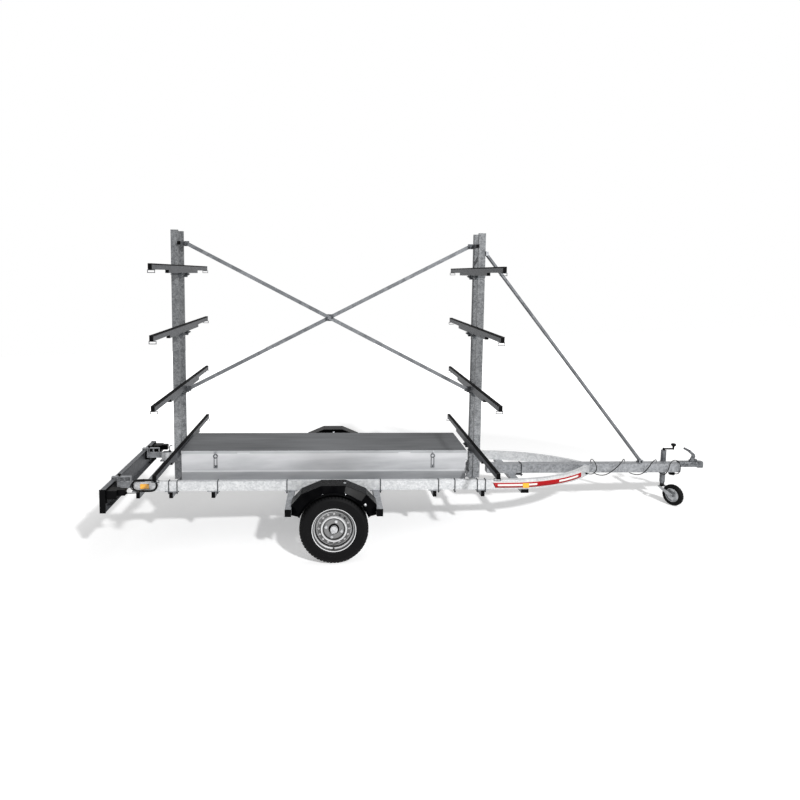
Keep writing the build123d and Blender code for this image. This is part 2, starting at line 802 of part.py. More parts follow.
def build_box():
    """Long sheet-steel stowage box: open tub, lid with a turned-down flange, hinges, latches."""
    x = (box_rear_x, box_front_x)
    inset = box_wall + lid_gap
    tub_top = box_top - box_wall - lid_gap
    tub_x = (x[0] + inset, x[1] - inset)
    tub_y = box_half_width - inset
    inside_x = (tub_x[0] + box_wall, tub_x[1] - box_wall)
    inside_y = tub_y - box_wall
    tub = block(tub_x, (-tub_y, tub_y), (member_top, tub_top))
    nodes["toolbox_tub"] = tub - block(inside_x, (-inside_y, inside_y), (member_top + box_wall, tub_top))
    lid_bottom = box_top - lid_flange
    lid = block(x, (-box_half_width, box_half_width), (lid_bottom, box_top))
    under_x = (x[0] + box_wall, x[1] - box_wall)
    under_y = box_half_width - box_wall
    lid = lid - block(under_x, (-under_y, under_y), (lid_bottom, box_top - box_wall))
    for notch_x in notch_xs:
        notch = (notch_x - notch_length / 2, notch_x + notch_length / 2)
        lid = lid - block(notch, (-box_half_width, -under_y), (lid_bottom, lid_bottom + notch_height))
    hinge_y = box_half_width + hinge_knuckle_radius
    hinge_z = lid_bottom - hinge_drop
    knuckle = hinge_knuckle_length / 2
    fixed = []
    for hx in hinge_xs:
        pin_start = (hx - 2 * knuckle, hinge_y, hinge_z)
        pin_end = (hx + 2 * knuckle, hinge_y, hinge_z)
        hinge = rod(pin_start, pin_end, hinge_pin_radius)
        for sign in (-1, 1):
            start = hx + sign * (knuckle / 2 + hinge_side_gap)
            end = start + sign * knuckle
            hinge = hinge + rod((start, hinge_y, hinge_z), (end, hinge_y, hinge_z), hinge_knuckle_radius)
            hinge = hinge + block((start, end), (tub_y, hinge_y), (hinge_z - hinge_leaf, hinge_z))
        fixed.append(hinge)
        sleeve_x = (hx - knuckle / 2, hx + knuckle / 2)
        sleeve = rod((sleeve_x[0], hinge_y, hinge_z), (sleeve_x[1], hinge_y, hinge_z), hinge_knuckle_radius)
        flap = block(sleeve_x, (box_half_width - 1, hinge_y), (hinge_z, lid_bottom + hinge_flap))
        lid = lid + (flap + sleeve - rod(pin_start, pin_end, hinge_pin_radius + running_gap))
    nodes["toolbox_hinges"] = group(fixed)
    nodes["toolbox_lid"] = lid
    latches = []
    latch_top = lid_bottom - latch_gap
    for lx in latch_xs:
        half = latch_width / 2
        y = (-tub_y - latch_thickness, -tub_y)
        base_z = (latch_top - latch_height, latch_top - latch_height + latch_base)
        latch = block((lx - half, lx + half), y, base_z)
        eye_z = latch_top - latch_eye_radius
        latch = latch + rod((lx, y[0], eye_z), (lx, y[1], eye_z), latch_eye_radius)
        latch = latch - rod((lx, y[0] - 1, eye_z), (lx, y[1] + 1, eye_z), latch_eye_hole)
        rod_radius = latch_thickness / 2
        rod_y = -tub_y - rod_radius
        for sign in (-1, 1):
            rod_x = lx + sign * latch_rod_spacing / 2
            latch = latch + rod((rod_x, rod_y, base_z[1] - 1), (rod_x, rod_y, eye_z - latch_eye_hole), rod_radius)
        latches.append(latch)
    nodes["toolbox_latches"] = group(latches)


def build_coupling():
    """Pressed coupling head for the ball, bolted to the drawbar's end, with its lift lever."""
    outer = ball_bore_radius + head_wall
    ball_x = nose_x - outer
    root = Pos(drawbar_front_x + 1, 0) * Rectangle(2, coupling_width)
    plan = make_hull([*(Pos(ball_x, 0) * Circle(outer)).edges(), *root.edges()])
    head = Pos(0, 0, head_bottom) * extrude(plan, head_top - head_bottom, dir=(0, 0, 1))
    shoulder = [e for e in head.edges().group_by(Axis.Z)[-1] if e.center().X > drawbar_front_x + 3]
    head = fillet(shoulder, head_shoulder)
    dome_z = head_bottom + ball_bore_depth
    head = head - rod((ball_x, 0, head_bottom - 1), (ball_x, 0, dome_z), ball_bore_radius)
    head = head - Pos(ball_x, 0, dome_z) * Sphere(ball_bore_radius)
    cup_back = ball_x - outer
    past = coupling_width
    head = head - block((drawbar_front_x - 1, cup_back), (-past, past), (head_bottom - 1, neck_bottom))
    channel = coupling_width / 2 - neck_wall
    channel_x = (drawbar_front_x + 2 * neck_wall, cup_back - neck_wall)
    head = head - block(channel_x, (-channel, channel), (neck_bottom - 1, head_top - neck_wall))
    nodes["coupling_head"] = head
    lever = [(ball_x + x, head_top + z) for x, z in lever_line]
    handle = bent_strip(lever, lever_strip, -lever_half_thickness, lever_half_thickness)
    pivot_x = (lever[0][0] - lever_strip, lever[0][0] + lever_strip)
    across = (-lever_half_thickness, lever_half_thickness)
    pivot = block(pivot_x, across, (head_top, lever[0][1]))
    catch_x = (pivot_x[1] + catch_gap, pivot_x[1] + catch_gap + catch_length)
    catch = block(catch_x, across, (head_top, head_top + catch_length))
    below_top = block((drawbar_front_x, nose_x), (-past, past), (head_bottom, head_top))
    nodes["coupling_lever"] = group([(handle - below_top) + pivot, catch])


def build_jack():
    """Jockey wheel: clamp on the drawbar, outer tube with crank, leg, castor fork, wheel."""
    half = drawbar_side / 2
    clamp_z = (drawbar_bottom + jack_clamp_margin, drawbar_top - jack_clamp_margin)
    saddle = block((jack_x - jack_clamp_half, jack_x + jack_clamp_half), (half, jack_y), clamp_z)
    ring = rod((jack_x, jack_y, clamp_z[0]), (jack_x, jack_y, clamp_z[1]), jack_tube_radius + jack_clamp_wall)
    hole = rod((jack_x, jack_y, clamp_z[0] - 1), (jack_x, jack_y, clamp_z[1] + 1), jack_tube_radius + running_gap)
    nodes["jack_clamp"] = saddle + ring - hole
    foot = (jack_x, jack_y, jack_tube_bottom)
    bore_top = jack_top - jack_cap
    tube = rod(foot, (jack_x, jack_y, jack_top), jack_tube_radius)
    nodes["jack_tube"] = tube - rod(foot, (jack_x, jack_y, bore_top), jack_leg_radius + seat_gap)
    arm_z = jack_top + crank_rise
    knob_x = jack_x + crank_reach
    knob_foot = arm_z + crank_radius
    boss = rod((jack_x, jack_y, jack_top), (jack_x, jack_y, arm_z + crank_radius), crank_boss_radius)
    arm = rod((jack_x, jack_y, arm_z), (knob_x, jack_y, arm_z), crank_radius)
    spindle = rod((knob_x, jack_y, arm_z - crank_radius), (knob_x, jack_y, knob_foot), crank_radius)
    # Columns: radius, height above the crank arm
    knob_profile = [
        (0, 0),
        (crank_radius, 0),
        (crank_radius + 2, knob_height / 3),
        (knob_radius, knob_height * 2 / 3),
        (knob_radius - 5, knob_height),
        (0, knob_height),
    ]
    knob = revolve(Plane.XZ * make_face(Polyline(*knob_profile, close=True)), Axis.Z)
    nodes["jack_crank"] = boss + arm + spindle + Pos(knob_x, jack_y, knob_foot) * knob
    leg_top = jack_tube_bottom + jack_leg_inside
    leg_bottom = jack_tube_bottom - jack_leg_below
    nodes["jack_leg"] = rod((jack_x, jack_y, leg_bottom), (jack_x, jack_y, leg_top), jack_leg_radius)
    build_castor(leg_bottom - seat_gap)


def build_castor(socket_top):
    """Castor fork under the jack's leg and the jockey wheel that trails in it."""
    socket_bottom = socket_top - fork_socket_height
    yoke_bottom = socket_bottom - fork_yoke
    socket = rod((jack_x, jack_y, socket_bottom), (jack_x, jack_y, socket_top), fork_socket_radius)
    wheel_x = jack_x + jockey_trail
    inner = jockey_width / 2 + fork_gap
    outer = inner + fork_plate
    yoke_x = (jack_x - fork_socket_radius, jack_x + fork_socket_radius / 2)
    yoke_y = (jack_y - inner, jack_y + inner)
    castor = Pos(jack_x, jack_y, 0) * Rot(0, 0, -castor_turn) * Pos(-jack_x, -jack_y, 0)
    nodes["jockey_socket"] = castor * (socket + block(yoke_x, yoke_y, (yoke_bottom, socket_bottom)))
    cheek = [
        (yoke_x[0], yoke_bottom),
        (yoke_x[0], socket_bottom),
        (yoke_x[1], socket_bottom),
        (wheel_x + fork_tip, jockey_centre_z + fork_tip),
        (wheel_x + fork_tip, jockey_centre_z - fork_tip),
        (wheel_x - fork_tip, jockey_centre_z - fork_tip),
    ]
    reach = outer + fork_plate
    pin_start = (wheel_x, jack_y - reach, jockey_centre_z)
    fork = rod(pin_start, (wheel_x, jack_y + reach, jockey_centre_z), jockey_axle_radius)
    for side in sides.values():
        near, far = sorted((jack_y + side * inner, jack_y + side * outer))
        fork = fork + side_plate(cheek, near, far)
    nodes["jockey_fork"] = castor * fork
    half = jockey_width / 2
    bead = half - 6
    web = half / 3
    hub_radius = jockey_axle_radius + 12
    bore = jockey_axle_radius + running_gap
    seat = jockey_rim_radius + bead_gap
    # Columns of both lists: radius, offset from the wheel's middle
    tyre = [
        (seat, -bead),
        (jockey_radius - 14, -half),
        (jockey_radius, -jockey_tread_half),
        (jockey_radius, jockey_tread_half),
        (jockey_radius - 14, half),
        (seat, bead),
    ]
    rim = [
        (bore, -half),
        (hub_radius, -half),
        (hub_radius, -web),
        (jockey_rim_radius - 8, -web),
        (jockey_rim_radius - 4, -bead),
        (jockey_rim_radius, -bead),
        (jockey_rim_radius, bead),
        (jockey_rim_radius - 4, bead),
        (jockey_rim_radius - 8, web),
        (hub_radius, web),
        (hub_radius, half),
        (bore, half),
    ]
    for name, profile in (("jockey_tyre", tyre), ("jockey_rim", rim)):
        wheel = revolve(make_face(Polyline(*profile, close=True)), Axis.Y)
        nodes[name] = castor * Pos(wheel_x, jack_y, jockey_centre_z) * wheel


def build_light_board():
    """Channel-section lighting board with recessed lamps, carried by two telescopic arms."""
    front_x = board_rear_x + board_depth
    web_x = board_rear_x + board_sheet
    board = block((board_rear_x, front_x), (-board_half_length, board_half_length), (board_bottom, board_top))
    past = board_half_length + 1
    board = board - block((web_x, front_x + 1), (-past, past), (board_bottom + board_sheet, board_top - board_sheet))
    lamp_z = (lamp_middle_z - lamp_height / 2, lamp_middle_z + lamp_height / 2)
    arm_top = rail_top - rail_wall - seat_gap
    arm_z = (arm_top - board_arm_depth, arm_top)
    caps = []
    lenses = []
    housings = []
    arms = []
    brackets = []
    for side in sides.values():
        end = side * board_half_length
        cap_x = (board_rear_x - board_cap_lip, front_x + board_cap_lip)
        cap_z = (board_bottom - board_cap_lip, board_top + board_cap_lip)
        caps.append(block(cap_x, (end, end + side * board_cap), cap_z))
        lamp_end = end - side * lamp_inset
        lamp_y = (lamp_end - side * lamp_length, lamp_end)
        board = board - block((board_rear_x - 1, web_x + 1), lamp_y, lamp_z)
        lenses.append(block((board_rear_x - lamp_lens, web_x), lamp_y, lamp_z))
        shell = block((web_x, web_x + lamp_depth), lamp_y, lamp_z)
        box_y = (lamp_end - side * lamp_box_length, lamp_end)
        shell = shell + block((web_x, web_x + lamp_box_depth), box_y, (lamp_z[1] - lamp_box_drop, lamp_z[1]))
        plug_y = (lamp_end - side * (lamp_plug_inset + lamp_plug_length), lamp_end - side * lamp_plug_inset)
        plug_x = (web_x + lamp_box_depth, web_x + lamp_box_depth + lamp_plug_depth)
        housings.append(shell + block(plug_x, plug_y, (lamp_z[1] - lamp_plug_drop, lamp_z[1])))
        arm_y = side * rail_mid_y
        half = board_arm_width / 2
        arms.append(block((front_x, rail_rear_x + board_arm_inside), (arm_y - half, arm_y + half), arm_z))
        strap_y = (arm_y - strap_width / 2, arm_y + strap_width / 2)
        strap_z = (board_top + strap_rise - strap_thickness, board_top + strap_rise)
        bracket = block((board_rear_x - strap_thickness, strap_front_x), strap_y, strap_z)
        hook_x = (board_rear_x - strap_thickness, board_rear_x)
        bracket = bracket + block(hook_x, strap_y, (board_top - strap_hook, strap_z[1]))
        for post_x in (front_x, strap_post_x, strap_front_x - strap_thickness):
            post = block((post_x, post_x + strap_thickness), strap_y, (arm_top, strap_z[1]))
            bracket = bracket + post
        brackets.append(bracket)
    nodes["light_board"] = board
    nodes["board_end_caps"] = group(caps)
    nodes["lamp_lenses"] = group(lenses)
    nodes["lamp_housings"] = group(housings)
    nodes["board_arms"] = group(arms)
    nodes["board_brackets"] = group(brackets)


def cord(name, points, radius):
    """Round cable of straight runs joined by tangent arcs; prints its bend radii and length."""
    line = [Vector(*point) for point in points]
    runs = [b - a for a, b in zip(line, line[1:])]
    bends = []
    for before, after in zip(runs, runs[1:]):
        half_turn = radians(before.get_angle(after)) / 2
        bends.append(bend_share * min(before.length, after.length) / tan(half_turn))
    route = FilletPolyline(*line, radius=bends)
    print(name, "bend radii", [round(bend, 1) for bend in bends], "length", round(route.length, 1))
    section = Plane(origin=line[0], z_dir=runs[0]) * Circle(radius)
    tube = sweep(section, path=route)
    print(name, "volume", round(tube.volume), "section times length", round(pi * radius**2 * route.length))
    return tube


def build_cables():
    """Lamp lead with its hank and clip, and the towing cable from its gland to the plug."""
    nodes["lamp_lead"] = cord("lamp_lead", lead_points, lead_radius)
    gland_start = (lead_points[0][0] - lead_gland_length, *lead_points[0][1:])
    nodes["lamp_gland"] = rod(gland_start, lead_points[0], gland_radius)
    middle = (sum(hank_x) / 2, hank_y[1], sum(hank_z) / 2)
    long, high = hank_x[1] - hank_x[0], hank_z[1] - hank_z[0]
    inside = 2 * hank_section
    ring = SlotOverall(long, high) - SlotOverall(long - inside, high - inside)
    nodes["lead_hank"] = Pos(*middle) * extrude(Plane.XZ * ring, hank_y[1] - hank_y[0])
    arm_face = -rail_mid_y - board_arm_width / 2
    nodes["hank_clip"] = block(hank_clip_x, (hank_y[1], arm_face), hank_clip_z)
    bend_middle_y = rail_bend_radius - rail_outer_y
    run = cable_gland_x - rail_bend_x
    across = -sqrt(rail_bend_radius**2 - run**2)
    normal = Vector(run, across, 0).normalized()
    foot = Vector(cable_gland_x, bend_middle_y + across, cable_gland_z)
    mouth = foot + normal * cable_gland_length
    first_bend = mouth + normal * cable_first_run
    nodes["cable_glands"] = rod(tuple(foot), tuple(mouth), gland_radius)
    nodes["towing_cable"] = cord("towing_cable", [tuple(mouth), tuple(first_bend), *cable_points], cable_radius)
    end, last = Vector(*cable_points[-1]), Vector(*cable_points[-2])
    heading = (end - last).normalized()
    neck_end = end + heading * plug_neck_length
    neck = rod(tuple(end), tuple(neck_end), plug_neck_radius)
    nodes["cable_plug"] = neck + rod(tuple(neck_end), tuple(neck_end + heading * plug_length), plug_radius)


def park_pitch():
    """Nose-down angle that brings the jockey wheel onto the tyres' floor."""
    turn = radians(castor_turn)
    across = jack_x + jockey_trail * cos(turn) + jockey_tread_half * sin(turn)
    rise = jockey_centre_z - axle_z
    return degrees(acos((jockey_radius - tyre_radius) / hypot(across, rise)) - atan2(across, rise))


def write_parts():
    """Pitch every node about the axle, centre the whole on the origin and write it."""
    pitch = Pos(0, 0, axle_z) * Rot(0, park_pitch(), 0) * Pos(0, 0, -axle_z)
    placed = {name: pitch * solid for name, solid in nodes.items()}
    boxes = [solid.bounding_box() for solid in placed.values()]
    middle_x = (min(b.min.X for b in boxes) + max(b.max.X for b in boxes)) / 2
    os.makedirs("parts", exist_ok=True)
    for name, solid in placed.items():
        export_step(Pos(-middle_x, 0, 0) * solid, f"parts/{name}.step")
    print("pitch", round(park_pitch(), 4), "middle", round(middle_x, 3), "nodes", len(nodes))


build_rails()
build_drawbar()
build_crossmembers()
build_axle()
build_wheels()
build_mudguards()
build_masts()
build_crossbars()
build_braces()
build_stay()
build_box()
build_coupling()
build_jack()
build_light_board()
build_cables()
write_parts()
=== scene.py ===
"""Boat trailer in a plain studio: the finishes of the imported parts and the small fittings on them.

Shapes are worked out in millimetres on the level frame, X forward from the wheel axle, Y to the left,
Z up from the road, and are then pitched nose down with the parked trailer.
"""
import json
from math import atan2, cos, pi, radians, sin, sqrt

import bpy
import numpy as np
from mathutils import Matrix, Vector


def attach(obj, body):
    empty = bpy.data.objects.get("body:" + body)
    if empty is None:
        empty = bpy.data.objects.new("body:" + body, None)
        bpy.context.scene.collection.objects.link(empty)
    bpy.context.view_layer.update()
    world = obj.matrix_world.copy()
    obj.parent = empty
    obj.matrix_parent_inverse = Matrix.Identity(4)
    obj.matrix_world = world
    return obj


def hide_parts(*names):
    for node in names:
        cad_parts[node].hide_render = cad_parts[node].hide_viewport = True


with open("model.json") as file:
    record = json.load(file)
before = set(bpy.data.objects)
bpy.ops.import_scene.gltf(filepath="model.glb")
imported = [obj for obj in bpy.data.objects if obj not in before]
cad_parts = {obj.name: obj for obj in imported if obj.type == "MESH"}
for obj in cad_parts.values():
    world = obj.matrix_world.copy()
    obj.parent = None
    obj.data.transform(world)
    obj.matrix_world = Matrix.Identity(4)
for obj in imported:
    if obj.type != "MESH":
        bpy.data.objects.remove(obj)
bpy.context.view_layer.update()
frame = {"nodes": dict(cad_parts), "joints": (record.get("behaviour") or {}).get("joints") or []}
nodes = frame["nodes"]
joints = {joint["name"]: joint for joint in frame["joints"]}

# The level frame inside the parked trailer
JACK_AXIS = joints["jack_slide"]["axis"]
PITCH = atan2(-JACK_AXIS[0], -JACK_AXIS[2])
AXLE = Vector(joints["wheel_right_spin"]["pos_m"])
HUB = Vector((AXLE.x, 0.0, AXLE.z))
TO_STORED = (Matrix.Translation(HUB) @ Matrix.Rotation(PITCH, 4, "Y")
             @ Matrix.Translation((0, 0, -AXLE.z)))
TURN = np.array(TO_STORED.to_3x3())
SHIFT = np.array(TO_STORED.translation)

# Sizes of the frame that the fittings sit on, mm
RAIL_OUTER_Y = 442.0
RAIL_WIDTH = 40.0
RAIL_BOTTOM = 450.0
RAIL_TOP = 530.0
RAIL_BEND_X = 1500.0
RAIL_BEND_RADIUS = 1100.0
PACKER = 8.0
# Each mast's middle along X, and which way is inward from it
MASTS = ((-1372.0, 1), (1283.0, -1))
MAST_HALF_X = 30.0
MAST_TUBE_YS = (-98.0, 98.0)
MAST_TUBE_HALF_Y = 15.0
BAR_TOPS = (770.0, 1288.0, 1806.0, 2324.0)
BAR_STACK = 70.0
# Right and left, by the sign of Y
SIDES = (-1, 1)
NAMED_SIDES = ((-1, "right"), (1, "left"))


def stored(points):
    """Level millimetres to stored metres."""
    return (np.asarray(points, float) / 1000) @ TURN.T + SHIFT


# Mesh making


def grid_faces(rows, columns, close_rows, close_columns):
    """Quads over a grid of points, row by row, joined round where closed."""
    row = np.arange(rows if close_rows else rows - 1)
    column = np.arange(columns if close_columns else columns - 1)
    i, j = np.meshgrid(row, column, indexing="ij")
    k, m = (i + 1) % rows, (j + 1) % columns
    quads = np.stack([i * columns + j, i * columns + m, k * columns + m, k * columns + j], -1)
    return quads.reshape(-1, 4).tolist()


def surface(points, close_rows=False, close_columns=False):
    """One shape from a grid of points: its corners and its quads."""
    points = np.asarray(points, float)
    rows, columns = points.shape[:2]
    return points.reshape(-1, 3), grid_faces(rows, columns, close_rows, close_columns)


def capped(points):
    """A closed-section tube: rings of points, each end covered by one face."""
    points = np.asarray(points, float)
    rows, columns = points.shape[:2]
    corners, faces = surface(points, close_columns=True)
    first = list(range(columns))[::-1]
    last = list(range((rows - 1) * columns, rows * columns))
    return corners, faces + [first, last]


def joined(shapes):
    """Several shapes as one list of corners and faces."""
    corners, faces, start = [], [], 0
    for points, polygons in shapes:
        corners.append(points)
        faces += [[index + start for index in face] for face in polygons]
        start += len(points)
    return np.concatenate(corners), faces


def new_object(name, data):
    """An object in the scene for a mesh, a curve, the camera or a lamp."""
    thing = bpy.data.objects.new(name, data)
    bpy.context.scene.collection.objects.link(thing)
    return thing


def piece(name, shape, body, finish, angle=0.6, uv=None):
    """A Blender object from a shape in level millimetres, riding on a body with its finish.

    Its shading is smooth, with creases kept where faces meet at more than the angle, in radians.
    """
    corners, faces = shape
    mesh = bpy.data.meshes.new(name)
    mesh.from_pydata(stored(corners).tolist(), [], faces)
    if uv is not None:
        layer = mesh.uv_layers.new(name="surface")
        corner_of = np.zeros(len(mesh.loops), int)
        mesh.loops.foreach_get("vertex_index", corner_of)
        layer.data.foreach_set("uv", np.asarray(uv, float).reshape(-1, 2)[corner_of].ravel())
    mesh.validate()
    thing = new_object(name, mesh)
    mesh.materials.append(finish)
    mesh.shade_smooth()
    mesh.set_sharp_from_angle(angle=angle)
    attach(thing, body)
    return thing


def lathe(profile, centre, axis, sides=32):
    """Profile of (radius, height) turned round an axis through the centre.

    A point is centre + radius * (u cos t + v sin t) + height * axis, with u and v square to the axis. A
    profile starts and ends just off the axis, so that each end closes as one small face.
    """
    axis = np.asarray(axis, float) / np.linalg.norm(axis)
    helper = np.array([1.0, 0, 0]) if abs(axis[0]) < 0.9 else np.array([0, 0, 1.0])
    v = np.cross(axis, helper)
    v /= np.linalg.norm(v)
    u = np.cross(v, axis)
    turn = np.linspace(0, 2 * pi, sides, endpoint=False)
    profile = np.asarray(profile, float)
    ring = np.cos(turn)[:, None] * u + np.sin(turn)[:, None] * v
    radii, heights = profile[:, 0, None, None], profile[:, 1, None, None]
    return capped(np.asarray(centre, float) + radii * ring + heights * axis)


def tube(path, radius, sides=10):
    """Round section carried along a path that lies in one plane square to an axis.

    Each ring is p + radius * (n cos t + b sin t), with n and b square to the path and to each other.
    """
    path = np.asarray(path, float)
    along = np.gradient(path, axis=0)
    along /= np.linalg.norm(along, axis=1)[:, None]
    spread = path.max(0) - path.min(0)
    flat = np.eye(3)[int(np.argmin(spread))]
    normal = np.cross(along, flat)
    normal /= np.linalg.norm(normal, axis=1)[:, None]
    binormal = np.cross(along, normal)
    turn = np.linspace(0, 2 * pi, sides, endpoint=False)
    ring = np.cos(turn)[None, :, None] * normal[:, None] + np.sin(turn)[None, :, None] * binormal[:, None]
    return capped(path[:, None] + radius * ring)


def slab(low, high, edge=1.2):
    """Plate between two corners: four stacked rings, the outer two drawn in by its broken edge."""
    low, high = np.asarray(low, float), np.asarray(high, float)
    thick = int(np.argmin(high - low))
    a, b = [axis for axis in range(3) if axis != thick]
    edge = min(edge, (high - low)[thick] / 3)
    steps = [(low[thick], edge), (low[thick] + edge, 0), (high[thick] - edge, 0), (high[thick], edge)]
    rings = []
    for height, inset in steps:
        ring = np.zeros((4, 3))
        ring[:, a] = [low[a] + inset, high[a] - inset, high[a] - inset, low[a] + inset]
        ring[:, b] = [low[b] + inset, low[b] + inset, high[b] - inset, high[b] - inset]
        ring[:, thick] = height
        rings.append(ring)
    points = np.array(rings)
    if thick == 1:
        points = points[:, ::-1]
    return capped(points)


def hex_head(centre, axis, across, height):
    """Hexagon nut or bolt head, turned with six sides: its corners are drawn in over the last fifth."""
    corner = across / sqrt(3)
    profile = [(0.4, 0), (corner, 0), (corner, height * 0.8), (corner * 0.86, height), (0.4, height)]
    return lathe(profile, centre, axis, 6)


# A U-bolt's rod, how far its centre line stands off the tube it holds, its nuts above the legs' ends, and
# the radius of its two turns
U_BOLT_RADIUS = 4.0
U_BOLT_OFF = 4.5
NUT_FROM_END = 14.0
U_BOLT_CORNER = 9.0


def u_bolt(top, across, down, half_span, leg):
    """U-bolt: bridge centred on a point, legs running down from it, the turns as quarter circles.

    A turn's points are (side + corner cos t, corner - corner sin t), across and down from the bridge.
    """
    top, across, down = (np.asarray(v, float) for v in (top, across, down))
    quarter = np.linspace(0, pi / 2, 7)
    corner, side = U_BOLT_CORNER, half_span - U_BOLT_CORNER
    left = np.stack([-side - corner * np.cos(quarter), corner - corner * np.sin(quarter)], -1)
    right = left[::-1] * (-1, 1)
    flat = np.concatenate([[(-half_span, leg)], left, right, [(half_span, leg)]])
    path = top + flat[:, :1] * across + flat[:, 1:] * down
    nuts = []
    for sign in SIDES:
        end = top + sign * half_span * across + (leg - NUT_FROM_END) * down
        nuts.append(hex_head(end, down, 14, 8))
    return [tube(path, U_BOLT_RADIUS, 8), *nuts]


# Finishes


def linear(code):
    """An sRGB hex colour as linear red, green, blue, alpha."""
    values = np.array([int(code[i:i + 2], 16) for i in (1, 3, 5)]) / 255
    values = np.where(values <= 0.04045, values / 12.92, ((values + 0.055) / 1.055) ** 2.4)
    return (*values.tolist(), 1.0)


def paler(code, by):
    """A hex colour with each of its three values raised by the same amount."""
    return "#" + "".join(f"{min(255, int(code[i:i + 2], 16) + by):02x}" for i in (1, 3, 5))


def per_metre(size_mm):
    """How often a pattern of this size repeats over a metre."""
    return 1000 / size_mm


def add(tree, kind, inputs=None, out=0, stops=(), blend="LINEAR", **settings):
    """One shader node with its settings and links; gives the output of that number or name.

    An input is a value or the socket that feeds it. Stops are a colour ramp's, as (position, hex colour).
    """
    node = tree.nodes.new("ShaderNode" + kind)
    for key, value in settings.items():
        setattr(node, key, value)
    for key, value in (inputs or {}).items():
        if isinstance(value, bpy.types.NodeSocket):
            tree.links.new(value, node.inputs[key])
        else:
            node.inputs[key].default_value = value
    if stops:
        node.color_ramp.interpolation = blend
        elements = node.color_ramp.elements
        while len(elements) < len(stops):
            elements.new(0.5)
        for element, (position, code) in zip(elements, stops):
            element.position = position
            element.color = linear(code)
    return node.outputs[out] if node.outputs else None


def blank_tree(owner):
    """The node tree of a material or a world, emptied."""
    owner.use_nodes = True
    owner.node_tree.nodes.clear()
    return owner.node_tree


def begin(name):
    """A new material and its emptied node tree."""
    material = bpy.data.materials.new(name)
    return material, blank_tree(material)


def complete(material, inputs):
    """The material once its shader has these inputs and feeds its output."""
    tree = material.node_tree
    add(tree, "OutputMaterial", {"Surface": add(tree, "BsdfPrincipled", inputs)})
    return material


def height_shade(tree, place, low, high, stops):
    """Colour by height on the level trailer, between two heights in mm; the parked places are turned back."""
    pitched = {"Vector": place, "Location": TO_STORED.translation, "Rotation": (0, PITCH, 0)}
    level = add(tree, "Mapping", pitched, vector_type="TEXTURE")
    z = add(tree, "SeparateXYZ", {"Vector": level}, 2)
    share = add(tree, "MapRange", {"Value": z, "From Min": low / 1000, "From Max": high / 1000})
    return add(tree, "ValToRGB", {"Fac": share}, stops=stops)


# Zinc, sheet and tape show little glint of their own beside the studio's light
LOW_GLINT = 0.15
# How much of their fine detail the noises keep, where a finish doesn't say otherwise
FINE_SHARE = 0.55


def galvanised(name, dark, light, spangle_mm, rough, metallic, shades=None):
    """Hot-dip zinc on steel: frosted crystals that each catch the light a little differently.

    The crystals' tones are mixed with blotches of 90 mm and clouds of 40 mm, and the skin ripples every 6 mm.
    """
    material, tree = begin(name)
    place = add(tree, "TexCoord", out="Object")
    crystals = add(tree, "TexVoronoi", {"Vector": place, "Scale": per_metre(spangle_mm)}, "Color")
    tone = add(tree, "SeparateColor", {"Color": crystals})
    blotch = add(tree, "TexNoise", {"Vector": place, "Scale": per_metre(90), "Detail": 4,
                                    "Roughness": 0.6}, "Fac")
    cloud = add(tree, "TexNoise", {"Vector": place, "Scale": per_metre(40), "Detail": 2,
                                   "Roughness": FINE_SHARE}, "Fac")
    blotched = add(tree, "Mix", {"Factor": 0.5, "A": tone, "B": blotch})
    softened = add(tree, "Mix", {"Factor": 0.35, "A": blotched, "B": cloud})
    colour = add(tree, "ValToRGB", {"Fac": softened}, stops=[(0.3, dark), (0.7, light)])
    # Painted light and shade by height, where shades are given
    if shades:
        shade = height_shade(tree, place, *shades)
        colour = add(tree, "VectorMath", {0: colour, 1: shade}, operation="MULTIPLY")
    ripple = add(tree, "TexNoise", {"Vector": place, "Scale": per_metre(6), "Detail": 3,
                                    "Roughness": FINE_SHARE}, "Fac")
    return complete(material, {
        "Base Color": colour,
        "Roughness": add(tree, "MapRange", {"Value": softened, "To Min": rough - 0.07,
                                            "To Max": rough + 0.1}),
        "Normal": add(tree, "Bump", {"Height": ripple, "Strength": 0.5, "Distance": 0.12 / 1000}),
        "Metallic": metallic,
        "Specular IOR Level": LOW_GLINT,
    })


def moulded(name, code, rough, shine, grain_mm=1.2, grain_depth=0.05):
    """Moulded plastic, rubber or paint: a grain, faint greying in blotches of 60 mm, a shallow sheen.

    The real grain is finer than a pixel; it is drawn coarser, so that it still breaks up the highlights.
    """
    material, tree = begin(name)
    place = add(tree, "TexCoord", out="Object")
    blotch = add(tree, "TexNoise", {"Vector": place, "Scale": per_metre(60), "Detail": 3,
                                    "Roughness": FINE_SHARE}, "Fac")
    grain = add(tree, "TexNoise", {"Vector": place, "Scale": per_metre(grain_mm), "Detail": 2,
                                   "Roughness": FINE_SHARE}, "Fac")
    return complete(material, {
        "Base Color": add(tree, "ValToRGB", {"Fac": blotch}, stops=[(0.3, code), (0.75, paler(code, 5))]),
        "Roughness": add(tree, "MapRange", {"Value": blotch, "To Min": rough - 0.06, "To Max": rough + 0.08}),
        "Normal": add(tree, "Bump", {"Height": grain, "Strength": 0.6, "Distance": grain_depth / 1000}),
        "Specular IOR Level": shine,
    })


# Hot-dip zinc on the rails: pale grey, its crystals faint after weathering
frame_zinc = galvanised("hot_dip_zinc", "#b4b6b8", "#d4d5d6", 14, 0.46, 0.5)
# Drawbar, axle and cross bearers: a mid grey that sets them off from the pale rails
drawbar_zinc = galvanised("drawbar_zinc", "#797b7e", "#9fa1a4", 14, 0.46, 0.5)
# Crossbars: dark grey and flat, nearly without crystals
bar_zinc = galvanised("bar_zinc", "#38393c", "#5c5e61", 11, 0.5, 0.5)
